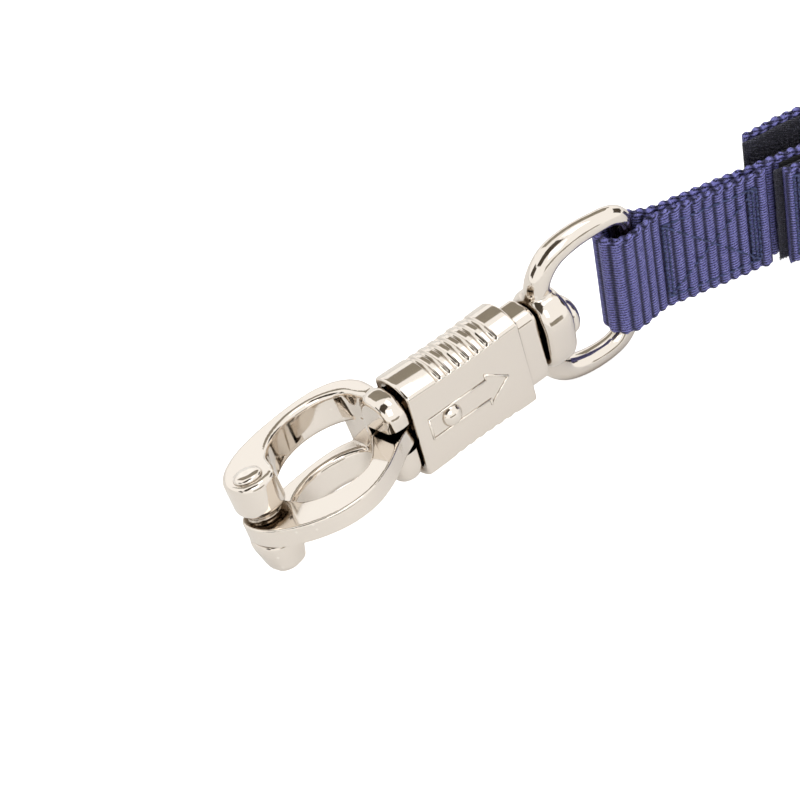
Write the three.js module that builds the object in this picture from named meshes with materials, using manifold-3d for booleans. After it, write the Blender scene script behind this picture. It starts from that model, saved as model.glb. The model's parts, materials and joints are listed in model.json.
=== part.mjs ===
// Breakaway tie strap: a nickel plated panic snap on a swivelling D-eye, a short webbing strap sewn round the
// eye, a hook-and-loop joint, and the main webbing strap with a plain end ring. Millimetres, +Z up.
// X runs along the snap from its nose to its eye. The strap stands on edge, turned a little towards -Y.
import * as THREE from "three";
import { mergeVertices } from "three/addons/utils/BufferGeometryUtils.js";
import Module from "manifold-3d";

const wasm = await Module();
wasm.setup();

// Panic snap, in its own frame: X along the axis from the jaw pivot, Y towards the rails, Z along the pivot.
const SNAP_ROLL_DEG = -22.7;
const SLEEVE_ROLL_DEG = -8.4;
const TWIST_DEG = SLEEVE_ROLL_DEG - SNAP_ROLL_DEG;
const BODY_TOP = 10;
const BODY_BOTTOM = -9.4;
const SLOT_HALF_HEIGHT = 3;
const EDGE_BEVEL = 1.3;
const PIVOT_RADIUS = 1.6;
const RUNNING_GAP = 0.06;
const JAW_HALF_HEIGHT = 1.9;
const JAW_BOSS_RADIUS = 3;
const JAW_TAIL_END = 32.2;
const STEM_FRONT = 29;
const STEM_END = 63.7;
const STEM_WIDTH = 8;
const STEM_HEIGHT = 17;
const SLEEVE_FRONT = 31.9;
const SLEEVE_END = 58.8;
const SLEEVE_WIDTH = 10.4;
const SLEEVE_FLAT = 18.8;
const SLEEVE_HEIGHT = 22;
const SLEEVE_TRAVEL = 5;
const PIN_X = 40;
const PIN_RADIUS = 1.25;
const SPRING_BORE_RADIUS = 2.9;
const SPRING_RADIUS = 2.1;
const SPRING_END = 57;
const GROOVE_COUNT = 7;
const GROOVE_PITCH = 2.3;
const GROOVE_DEPTH = 0.55;
const GROOVE_START = 39.4;

// Swivel eye.
const STUD_RADIUS = 2.4;
const BOSS_FRONT = 64.3;
const BOSS_END = 71;
const BAR_X = 86.6;
const WIRE_RADIUS = 2.2;

// Straps, in their own frame: S along the strap from the eye's bar, N away from the front face, V up.
const STRAP_YAW_DEG = -15.6;
const WEB_WIDTH = 25;
const WEB = 1.8;
const HALF_GAP = 0.1;
const TAPE = 0.9;
const TAPE_WIDTH = 24;
const FOLD_INNER = 2.5;
const LOOP_CLOSED_AT = 9.5;
const SHORT_RAW_END = 31.6;
const SHORT_TAIL_END = 108;
const TAB_START = 33.2;
const TAB_END = 142;
const MAIN_START = 111;
const END_BAR = 345;
const END_RAW = 305;
const THREAD = 0.35;

const COLOURS = {
  nickel: [0.78, 0.75, 0.7, 0.22, 1],
  steel: [0.6, 0.6, 0.6, 0.35, 1],
  navy: [0.06, 0.055, 0.16, 0.85, 0],
  black: [0.02, 0.02, 0.022, 0.95, 0],
  thread: [0.05, 0.07, 0.17, 0.7, 0],
};

const group = new THREE.Group();
group.name = "breakaway_tie_strap";

function toManifold(geometry) {
  const clean = geometry.clone();
  clean.deleteAttribute("normal");
  clean.deleteAttribute("uv");
  const merged = mergeVertices(clean, 1e-4);
  const mesh = new wasm.Mesh({
    numProp: 3,
    vertProperties: Float32Array.from(merged.attributes.position.array),
    triVerts: Uint32Array.from(merged.index.array),
  });
  return new wasm.Manifold(mesh);
}

function toGeometry(solid) {
  const mesh = solid.getMesh();
  const geometry = new THREE.BufferGeometry();
  geometry.setAttribute("position", new THREE.BufferAttribute(Float32Array.from(mesh.vertProperties), 3));
  geometry.setIndex(new THREE.BufferAttribute(Uint32Array.from(mesh.triVerts), 1));
  geometry.computeVertexNormals();
  return geometry;
}

function join(first, ...rest) {
  return toGeometry(rest.reduce((sum, g) => sum.add(toManifold(g)), toManifold(first)));
}

function cut(first, ...rest) {
  return toGeometry(rest.reduce((sum, g) => sum.subtract(toManifold(g)), toManifold(first)));
}

// A block between two corners.
function block(x0, x1, y0, y1, z0, z1) {
  const g = new THREE.BoxGeometry(x1 - x0, y1 - y0, z1 - z0);
  return g.translate((x0 + x1) / 2, (y0 + y1) / 2, (z0 + z1) / 2);
}

// A round bar between two heights of one axis, centred at (a, b) on the other two.
function bar(axis, radius, from, to, a = 0, b = 0, sides = 24) {
  const g = new THREE.CylinderGeometry(radius, radius, to - from, sides);
  const mid = (from + to) / 2;
  if (axis === "x") {
    return g.rotateZ(-Math.PI / 2).translate(mid, a, b);
  }
  if (axis === "y") {
    return g.translate(a, mid, b);
  }
  return g.rotateX(Math.PI / 2).translate(a, b, mid);
}

// A closed smooth or straight outline from points.
function outline(points) {
  return new THREE.Shape(points.map(([x, y]) => new THREE.Vector2(x, y)));
}

function smoothOutline(points, count) {
  const curve = new THREE.CatmullRomCurve3(points.map(([x, y]) => new THREE.Vector3(x, y, 0)), true, "centripetal");
  return curve.getPoints(count).slice(0, -1).map((p) => [p.x, p.y]);
}

// An outline in XY given height along Z, with rounded rims.
function plate(points, z0, z1, bevel, bevelSegments = 2) {
  const g = new THREE.ExtrudeGeometry(outline(points), {
    depth: z1 - z0 - 2 * bevel,
    bevelEnabled: bevel > 0,
    bevelThickness: bevel,
    bevelSize: bevel,
    bevelOffset: -bevel,
    bevelSegments,
    curveSegments: 8,
  });
  return g.translate(0, 0, z0 + bevel);
}

// A rounded rectangle section in YZ run along X.
function roundedBar(x0, x1, width, height, radius, segments = 4) {
  const w = width / 2 - radius;
  const h = height / 2 - radius;
  const points = [];
  const corners = [[w, h, 0], [-w, h, 90], [-w, -h, 180], [w, -h, 270]];
  for (const [cy, cz, start] of corners) {
    for (let i = 0; i <= segments; i += 1) {
      const a = THREE.MathUtils.degToRad(start + (90 * i) / segments);
      points.push([cy + radius * Math.cos(a), cz + radius * Math.sin(a)]);
    }
  }
  const g = new THREE.ExtrudeGeometry(outline(points), { depth: x1 - x0, bevelEnabled: false });
  // Shape X becomes Y, shape Y becomes Z, depth becomes X.
  const m = new THREE.Matrix4().set(0, 0, 1, x0, 1, 0, 0, 0, 0, 1, 0, 0, 0, 0, 0, 1);
  return g.applyMatrix4(m);
}

// A round wire along points.
function wire(points, radius, steps, sides = 12, type = "centripetal") {
  const path = new THREE.CatmullRomCurve3(points.map((p) => new THREE.Vector3(...p)), false, type);
  const section = [];
  for (let i = 0; i < sides; i += 1) {
    const a = (2 * Math.PI * i) / sides;
    section.push([radius * Math.cos(a), radius * Math.sin(a)]);
  }
  return new THREE.ExtrudeGeometry(outline(section), { steps, extrudePath: path, bevelEnabled: false });
}

// A solid turned about an axis from a profile of [radius, height] pairs.
function turned(profile, sides = 24) {
  return new THREE.LatheGeometry(profile.map(([r, h]) => new THREE.Vector2(r, h)), sides);
}

const snapFrame = new THREE.Matrix4().makeRotationX(THREE.MathUtils.degToRad(SNAP_ROLL_DEG));
const sleeveFrame = new THREE.Matrix4().makeRotationX(THREE.MathUtils.degToRad(SLEEVE_ROLL_DEG));
const strapFrame = new THREE.Matrix4()
  .makeTranslation(BAR_X, 0, 0)
  .multiply(new THREE.Matrix4().makeRotationZ(THREE.MathUtils.degToRad(STRAP_YAW_DEG)));

function add(name, geometry, finish, frame) {
  const [r, g, b, roughness, metalness] = COLOURS[finish];
  const material = new THREE.MeshStandardMaterial({ color: new THREE.Color(r, g, b), roughness, metalness });
  if (frame) {
    geometry.applyMatrix4(frame);
  }
  const mesh = new THREE.Mesh(geometry, material);
  mesh.name = name;
  group.add(mesh);
}

// Fixed hook: two rails from the nose ears round to the root, then the stem that the sleeve rides on.
function hookBody() {
  const arch = [
    [0, -4.7], [-3.4, -3.3], [-4.7, 0], [-4.2, 3.6], [-1.6, 7.4], [3, 10.9], [8, 13], [14, 14.3],
    [20, 14.9], [25, 14.4], [29, 12], [31.2, 8], [31.4, 2], [31.4, -5.6], [28.2, -5.8], [27.4, -3],
    [27.6, 3], [26.4, 7.4], [22.6, 10.4], [18, 11.1], [13.6, 10], [9.4, 7.3], [6.4, 3.6], [4.9, -1], [3.4, -3.4],
  ];
  const rails = plate(smoothOutline(arch, 60), BODY_BOTTOM, BODY_TOP, EDGE_BEVEL);
  const twist = THREE.MathUtils.degToRad(TWIST_DEG);
  const stem = roundedBar(STEM_FRONT, STEM_END, STEM_WIDTH, STEM_HEIGHT, 2.4).rotateX(twist);
  const solid = join(rails, stem);
  const slotX = PIN_X + SLEEVE_TRAVEL / 2;
  const slotHalf = SLEEVE_TRAVEL / 2 + PIN_RADIUS + 0.3;
  return cut(
    solid,
    block(-8, 26.6, -20, 20, -SLOT_HALF_HEIGHT, SLOT_HALF_HEIGHT),
    block(26, 33.4, -9, 2.4, -SLOT_HALF_HEIGHT, SLOT_HALF_HEIGHT),
    bar("z", PIVOT_RADIUS + 0.03, -12, 12, 0, 0),
    bar("x", SPRING_BORE_RADIUS, 38, SPRING_END),
    block(slotX - slotHalf, slotX + slotHalf, -8, 8, -1.6, 1.6).rotateX(twist),
    bar("x", STUD_RADIUS + 0.03, 59, 66),
  );
}

// Moving jaw: a flat C plate with a hinge boss, its tail tucked just under the sleeve's rim.
function jaw() {
  const points = [
    [-4.2, 1.8], [-4.6, -1.5], [-3.4, -6.6], [0.8, -11.9], [5.6, -15], [10, -16.1], [15, -15.5], [20, -13],
    [24.2, -9.8], [28, -6.6], [30.8, -4.7], [JAW_TAIL_END, -3.2], [JAW_TAIL_END, -0.2], [29.4, 1.2],
    [26.6, 1.2], [24.8, -0.8], [22.3, -4.6], [18.6, -8], [15, -9], [11.4, -8.6], [8.2, -7.2], [6, -4.8],
    [4.9, -1.4], [3.6, 2.8], [0, 4.6], [-2.8, 3.7],
  ];
  const solid = join(
    plate(points, -JAW_HALF_HEIGHT, JAW_HALF_HEIGHT, 0.35, 1),
    bar("z", JAW_BOSS_RADIUS, -SLOT_HALF_HEIGHT + 0.06, SLOT_HALF_HEIGHT - 0.06),
  );
  return cut(solid, bar("z", PIVOT_RADIUS + RUNNING_GAP, -8, 8));
}

// Pivot rivet through both ears, with a low head at each end.
function pivotRivet() {
  const top = BODY_TOP + 0.05;
  const low = BODY_BOTTOM - 0.05;
  const profile = [
    [0, low - 0.7], [1.8, low - 0.6], [2.7, low - 0.2], [2.7, low], [PIVOT_RADIUS, low],
    [PIVOT_RADIUS, top], [3.1, top], [3.1, top + 0.4], [2.2, top + 0.8], [0, top + 0.9],
  ];
  return turned(profile).rotateX(Math.PI / 2);
}

// A bar along X with flat sides and crowned top and bottom faces.
function crownedBar(x0, x1, width, flat, height) {
  const w = width / 2;
  const half = [[w, flat / 2 - 0.5], [w - 0.12, flat / 2 - 0.1]];
  for (let i = 0; i <= 10; i += 1) {
    const y = (w - 0.4) * (1 - i / 5);
    half.push([y, flat / 2 + ((height - flat) / 2) * (1 - (y / w) ** 2)]);
  }
  half.push([0.12 - w, flat / 2 - 0.1], [-w, flat / 2 - 0.5]);
  const points = [...half, ...half.map(([y, z]) => [-y, -z])];
  const g = new THREE.ExtrudeGeometry(outline(points), { depth: x1 - x0, bevelEnabled: false });
  const m = new THREE.Matrix4().set(0, 0, 1, x0, 1, 0, 0, 0, 0, 1, 0, 0, 0, 0, 0, 1);
  return g.applyMatrix4(m);
}

// Sliding sleeve: flattened tube with finger grooves on two sides and a raised arrow on the others.
function sleeve() {
  const outer = crownedBar(SLEEVE_FRONT, SLEEVE_END, SLEEVE_WIDTH, SLEEVE_FLAT, SLEEVE_HEIGHT);
  const inner = roundedBar(SLEEVE_FRONT - 1, SLEEVE_END + 1, STEM_WIDTH + 0.4, STEM_HEIGHT + 0.4, 2.5);
  const cuts = [inner, bar("y", PIN_RADIUS + 0.03, -9, 9, PIN_X, 0)];
  const slices = [];
  for (let i = 0; i < GROOVE_COUNT; i += 1) {
    const x = GROOVE_START + i * GROOVE_PITCH;
    slices.push(block(x - 0.5, x + 0.5, -8, 8, SLEEVE_FLAT / 2 - 0.9, 14));
    slices.push(block(x - 0.5, x + 0.5, -8, 8, -14, 0.9 - SLEEVE_FLAT / 2));
  }
  const d = 2 * GROOVE_DEPTH;
  const floor = crownedBar(SLEEVE_FRONT, SLEEVE_END, SLEEVE_WIDTH - d * 0.7, SLEEVE_FLAT + 0.2, SLEEVE_HEIGHT - d);
  cuts.push(cut(join(...slices), floor));
  const arrow = outline([
    [34.8, -2.6], [48.6, -2.6], [48.6, -4], [54.2, 0], [48.6, 4], [48.6, 2.6], [34.8, 2.6],
  ]);
  arrow.holes.push(new THREE.Path([
    new THREE.Vector2(35.3, -2.1), new THREE.Vector2(35.3, 2.1), new THREE.Vector2(49.1, 2.1),
    new THREE.Vector2(49.1, 3), new THREE.Vector2(53.3, 0), new THREE.Vector2(49.1, -3),
    new THREE.Vector2(49.1, -2.1),
  ]));
  const solid = cut(outer, ...cuts);
  const ridges = [-1, 1].map((side) => {
    const g = new THREE.ExtrudeGeometry(arrow, { depth: 0.7, bevelEnabled: false });
    g.rotateX(Math.PI / 2);
    return g.translate(0, side > 0 ? SLEEVE_WIDTH / 2 + 0.3 : -SLEEVE_WIDTH / 2 + 0.4, 0);
  });
  return join(solid, ...ridges);
}

// Cross pin with a domed head on each side of the sleeve.
function crossPin() {
  const face = SLEEVE_WIDTH / 2 + 0.05;
  const profile = [
    [0, -face - 1.1], [1.2, -face - 0.9], [2, -face - 0.35], [2.1, -face], [PIN_RADIUS, -face],
    [PIN_RADIUS, face], [2.1, face], [2, face + 0.35], [1.2, face + 0.9], [0, face + 1.1],
  ];
  return turned(profile, 20).translate(PIN_X, 0, 0);
}

// Return spring in the stem's bore, between the cross pin and the bore's end.
function releaseSpring() {
  const turns = 6;
  const from = PIN_X + PIN_RADIUS + 0.75;
  const to = SPRING_END - 0.65;
  const points = [];
  for (let i = 0; i <= turns * 10; i += 1) {
    const a = (2 * Math.PI * i) / 10;
    points.push([from + ((to - from) * i) / (turns * 10), SPRING_RADIUS * Math.cos(a), SPRING_RADIUS * Math.sin(a)]);
  }
  return wire(points, 0.5, turns * 12, 6);
}

// Swivel stud: shank held in the stem, domed head inside the eye.
function swivelStud() {
  const profile = [
    [0, 59.1], [STUD_RADIUS, 59.1], [STUD_RADIUS, BOSS_END + 0.08], [4.1, BOSS_END + 0.08],
    [4.3, BOSS_END + 0.9], [3.7, BOSS_END + 2.1], [2.2, BOSS_END + 3], [0, BOSS_END + 3.3],
  ];
  return turned(profile).rotateZ(-Math.PI / 2);
}

// D-shaped eye: a thick boss with two arms that sweep round to the bar the webbing folds over.
function swivelEye() {
  const side = (s) => [
    [67.4, 0, 3 * s], [67.8, 0, 6.8 * s], [69, 0, 11 * s], [71.8, 0, 14.6 * s], [76, 0, 16.4 * s],
    [80.6, 0, 16.7 * s], [84, 0, 16 * s], [86, 0, 14.3 * s], [BAR_X, 0, 11.6 * s],
  ];
  const arms = wire([...side(-1), [BAR_X, 0, 0], ...side(1).reverse()], WIRE_RADIUS, 56);
  // The boss is a rounded block, long along Z.
  const boss = roundedBar(BOSS_FRONT, BOSS_END, 11, 16.4, 5.2, 5);
  return cut(join(arms, boss), bar("x", STUD_RADIUS + RUNNING_GAP, 60, BOSS_END + 1));
}

// Webbing strip from a centreline in the S-N plane, standing between two heights.
function ribbon(centre, thickness, width, shift = 0) {
  const left = [];
  const right = [];
  centre.forEach(([s, n], i) => {
    const a = centre[Math.max(i - 1, 0)];
    const b = centre[Math.min(i + 1, centre.length - 1)];
    const length = Math.hypot(b[0] - a[0], b[1] - a[1]);
    const ns = -(b[1] - a[1]) / length;
    const nn = (b[0] - a[0]) / length;
    const over = shift + thickness / 2;
    const under = shift - thickness / 2;
    left.push([s + ns * over, n + nn * over]);
    right.push([s + ns * under, n + nn * under]);
  });
  return plate([...right, ...left.reverse()], -width / 2, width / 2, 0);
}

function easeLine(s0, s1, n0, n1, count) {
  const points = [];
  for (let i = 0; i <= count; i += 1) {
    const t = i / count;
    points.push([s0 + (s1 - s0) * t, n0 + (n1 - n0) * t * t * (3 - 2 * t)]);
  }
  return points;
}

// One end folded round a bar at s = bar, opening towards +dir, then closing to two layers face to face.
function foldedStrap(barS, dir, rawEnd, tailEnd) {
  const lay = HALF_GAP + WEB / 2;
  const r = FOLD_INNER + WEB / 2;
  const closed = barS + dir * LOOP_CLOSED_AT;
  const points = [[rawEnd, -lay], ...easeLine(closed, barS + dir * 0.6, -lay, -r, 6)];
  for (let i = 0; i <= 10; i += 1) {
    const a = THREE.MathUtils.degToRad(-90 - 18 * i);
    points.push([barS + dir * r * Math.cos(a), r * Math.sin(a)]);
  }
  points.push(...easeLine(barS + dir * 0.6, closed, r, lay, 6), [tailEnd, lay]);
  return ribbon(points, WEB, WEB_WIDTH);
}

// Sewn box with a cross, standing proud of a strap's face.
function stitchBox(s0, s1, face, out, halfHeight) {
  const w = 0.8;
  const mid = (s0 + s1) / 2;
  const shape = outline([[s0, -halfHeight], [s1, -halfHeight], [s1, halfHeight], [s0, halfHeight]]);
  const hole = (points) => shape.holes.push(new THREE.Path(points.map(([x, y]) => new THREE.Vector2(x, y))));
  hole([[s0 + 2 * w, -halfHeight + w], [mid, -w], [s1 - 2 * w, -halfHeight + w]].reverse());
  hole([[s0 + 2 * w, halfHeight - w], [mid, w], [s1 - 2 * w, halfHeight - w]]);
  hole([[s0 + w, -halfHeight + 2 * w], [mid - w, 0], [s0 + w, halfHeight - 2 * w]].reverse());
  hole([[s1 - w, -halfHeight + 2 * w], [mid + w, 0], [s1 - w, halfHeight - 2 * w]]);
  const g = new THREE.ExtrudeGeometry(shape, { depth: THREAD, bevelEnabled: false });
  g.rotateX(Math.PI / 2);
  const near = face + out * 0.08;
  return g.translate(0, out > 0 ? near + THREAD : near, 0);
}

const layer = HALF_GAP + WEB / 2;
const loopFace = HALF_GAP + WEB;
const frontTape = HALF_GAP - 0.15 - TAPE / 2;
const frontHook = frontTape - TAPE - 0.15;
const frontTab = frontHook - TAPE / 2 - 0.15 - WEB / 2;
const backTape = loopFace + 0.15 + TAPE / 2;

// The back tab stands away from the tail at its free end and comes back to it further along.
function backLine(start, end) {
  const rest = backTape + TAPE + 0.15;
  const points = easeLine(start, start + 12, rest + 4.6, rest + 5.4, 4);
  points.push(...easeLine(start + 14, start + 40, rest + 5.4, rest, 10));
  points.push([end, rest]);
  return points;
}

function addSnap() {
  add("hook_body", hookBody(), "nickel", snapFrame);
  add("release_jaw", jaw(), "nickel", snapFrame);
  add("jaw_pivot_rivet", pivotRivet(), "nickel", snapFrame);
  add("release_sleeve", sleeve(), "nickel", sleeveFrame);
  add("sleeve_cross_pin", crossPin(), "nickel", sleeveFrame);
  add("release_spring", releaseSpring(), "steel", snapFrame);
  add("swivel_stud", swivelStud(), "nickel", snapFrame);
  add("swivel_eye", swivelEye(), "nickel");
}

function addShortStrap() {
  add("short_strap", foldedStrap(0, 1, SHORT_RAW_END, SHORT_TAIL_END), "navy", strapFrame);
  add("loop_tape_front", ribbon([[35, frontTape], [107, frontTape]], TAPE, TAPE_WIDTH), "black", strapFrame);
  add("loop_tape_back", ribbon([[35, backTape], [107, backTape]], TAPE, TAPE_WIDTH), "black", strapFrame);
  add("stitch_loop_front", stitchBox(9.8, 29.6, -loopFace, -1, 9.8), "thread", strapFrame);
  add("stitch_loop_back", stitchBox(9.8, 29.6, loopFace, 1, 9.8), "thread", strapFrame);
}

function addMainStrap() {
  const mid = layer;
  const frontIn = mid - WEB - 0.15;
  const front = [[TAB_START, frontTab], [MAIN_START - 4, frontTab]];
  front.push(...easeLine(MAIN_START - 2, MAIN_START + 4, frontTab, frontIn, 5).slice(1), [TAB_END, frontIn]);
  add("front_tab", ribbon(front, WEB, WEB_WIDTH), "navy", strapFrame);
  add("front_hook_tape", ribbon([[TAB_START - 1.2, frontHook], [106, frontHook]], TAPE, TAPE_WIDTH),
    "black", strapFrame);
  const tabRest = backTape + TAPE + 0.15 + TAPE / 2 + 0.15 + WEB / 2;
  const backIn = mid + WEB + 0.15;
  const back = backLine(28.6, MAIN_START - 4);
  const lift = TAPE / 2 + 0.15 + WEB / 2;
  back.push(...easeLine(MAIN_START - 2, MAIN_START + 4, tabRest - lift, backIn - lift, 5).slice(1));
  back.push([TAB_END, backIn - lift]);
  add("back_tab", ribbon(back, WEB, WEB_WIDTH, lift), "navy", strapFrame);
  add("back_hook_tape", ribbon(backLine(28.6, 106), TAPE, TAPE_WIDTH), "black", strapFrame);
  add("main_strap", mainStrap(), "navy", strapFrame);
  add("stitch_tabs_front", stitchBox(119, 139, frontIn - WEB / 2, -1, 9.8), "thread", strapFrame);
  add("stitch_tabs_back", stitchBox(119, 139, backIn + WEB / 2, 1, 9.8), "thread", strapFrame);
  add("stitch_end_front", stitchBox(308, 331, -loopFace, -1, 9.8), "thread", strapFrame);
  add("stitch_end_back", stitchBox(308, 331, loopFace, 1, 9.8), "thread", strapFrame);
  add("end_ring", endRing(), "nickel", strapFrame);
}

function mainStrap() {
  return foldedStrap(END_BAR, -1, END_RAW, MAIN_START + 5.5);
}

// Plain welded D-ring in the far loop.
function endRing() {
  const side = (s) => [
    [END_BAR, 0, 11.6 * s], [END_BAR + 0.5, 0, 14.1 * s], [END_BAR + 2.3, 0, 15.7 * s],
    [END_BAR + 6, 0, 16.2 * s], [END_BAR + 11.5, 0, 14.2 * s], [END_BAR + 16.4, 0, 9.6 * s],
    [END_BAR + 18.8, 0, 4 * s],
  ];
  const arc = wire([[END_BAR, 0, -2], ...side(-1), ...side(1).reverse(), [END_BAR, 0, 2]], WIRE_RADIUS, 56);
  return join(arc, bar("z", WIRE_RADIUS, -4, 4, END_BAR, 0, 12));
}

addSnap();
addShortStrap();
addMainStrap();

// The row's origin is the centre of the bounding box's underside.
const box = new THREE.Box3().setFromObject(group, true);
group.position.set(-(box.min.x + box.max.x) / 2, -(box.min.y + box.max.y) / 2, -box.min.z);

export default group;
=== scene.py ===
"""Breakaway tie strap: looks for the panic snap, its swivel eye, the webbing and the hook-and-loop joint.

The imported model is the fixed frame. Each sub-assembly below builds its finer pieces in the same place, in
metres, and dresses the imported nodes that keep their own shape.
"""

import sys

import json
import logging
import math
import random
from collections.abc import Callable, Sequence
from dataclasses import dataclass
from enum import Enum

import bmesh
import bpy
from mathutils import Matrix, Vector


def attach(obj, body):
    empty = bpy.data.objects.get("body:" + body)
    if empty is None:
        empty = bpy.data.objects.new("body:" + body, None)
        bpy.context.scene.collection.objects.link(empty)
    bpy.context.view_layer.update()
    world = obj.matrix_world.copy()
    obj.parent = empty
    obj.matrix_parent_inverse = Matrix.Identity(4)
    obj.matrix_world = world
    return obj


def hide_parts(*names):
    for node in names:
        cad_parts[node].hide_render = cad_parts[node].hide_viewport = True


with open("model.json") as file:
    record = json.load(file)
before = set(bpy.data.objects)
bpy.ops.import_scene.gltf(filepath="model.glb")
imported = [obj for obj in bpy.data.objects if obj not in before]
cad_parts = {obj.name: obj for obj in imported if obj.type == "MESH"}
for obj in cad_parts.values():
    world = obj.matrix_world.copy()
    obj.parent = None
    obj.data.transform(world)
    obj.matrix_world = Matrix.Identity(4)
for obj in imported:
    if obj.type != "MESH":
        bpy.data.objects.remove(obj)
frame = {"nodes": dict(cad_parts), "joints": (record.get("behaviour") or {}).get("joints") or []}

LOG = logging.getLogger("tie_strap")
MM = 0.001
Point = tuple[float, float, float]
Pair = tuple[float, float]


class Slot(Enum):
    """The record's material slots that the built pieces use."""

    NICKEL = "nickel"
    WEBBING = "webbing"
    LOOP = "loop_tape"
    HOOK = "hook_tape"
    THREAD = "thread"


class Side(Enum):
    """Which broad face of the strap a thing lies on."""

    FRONT = -1
    BACK = 1


# ---------------------------------------------------------------------------------------------------------
# Places
# ---------------------------------------------------------------------------------------------------------


def joint(name: str) -> dict:
    """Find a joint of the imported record.

    Args:
        name: The joint's name.

    Returns:
        The joint's entry.
    """
    return next(j for j in frame["joints"] if j["name"] == name)


@dataclass(frozen=True)
class Place:
    """A local frame in the row: millimetre points in it become row metres."""

    matrix: Matrix

    @staticmethod
    def snap() -> "Place":
        """The snap's frame: origin at the jaw pivot, X along the axis, Z along the pivot.

        Returns:
            The frame.
        """
        hinge = joint("jaw_hinge")
        z = Vector(hinge["axis"]).normalized()
        x = Vector((1.0, 0.0, 0.0))
        return Place.of(x, z.cross(x), z, Vector(hinge["pos_m"]))

    @staticmethod
    def strap() -> "Place":
        """The strap's frame: origin at the eye's bar, X along the strap, Y out of its back face.

        Returns:
            The frame.
        """
        x = -Vector(joint("breakaway_slide")["axis"]).normalized()
        z = Vector((0.0, 0.0, 1.0))
        return Place.of(x, z.cross(x), z, Vector(joint("eye_fold_hinge")["pos_m"]))

    @staticmethod
    def level() -> "Place":
        """The snap's origin with the row's own axes, for the eye.

        Returns:
            The frame.
        """
        return Place(Matrix.Translation(Vector(joint("jaw_hinge")["pos_m"])))

    @staticmethod
    def of(x: Vector, y: Vector, z: Vector, origin: Vector) -> "Place":
        """Build a frame from its axes and origin.

        Args:
            x: First axis.
            y: Second axis.
            z: Third axis.
            origin: The origin in row metres.

        Returns:
            The frame.
        """
        turn = Matrix((x, y, z)).transposed().to_4x4()
        return Place(Matrix.Translation(origin) @ turn)

    def at(self, x: float, y: float, z: float) -> Vector:
        """A local millimetre point in row metres."""
        return self.matrix @ Vector((x * MM, y * MM, z * MM))


# ---------------------------------------------------------------------------------------------------------
# Mesh making
# ---------------------------------------------------------------------------------------------------------


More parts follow.
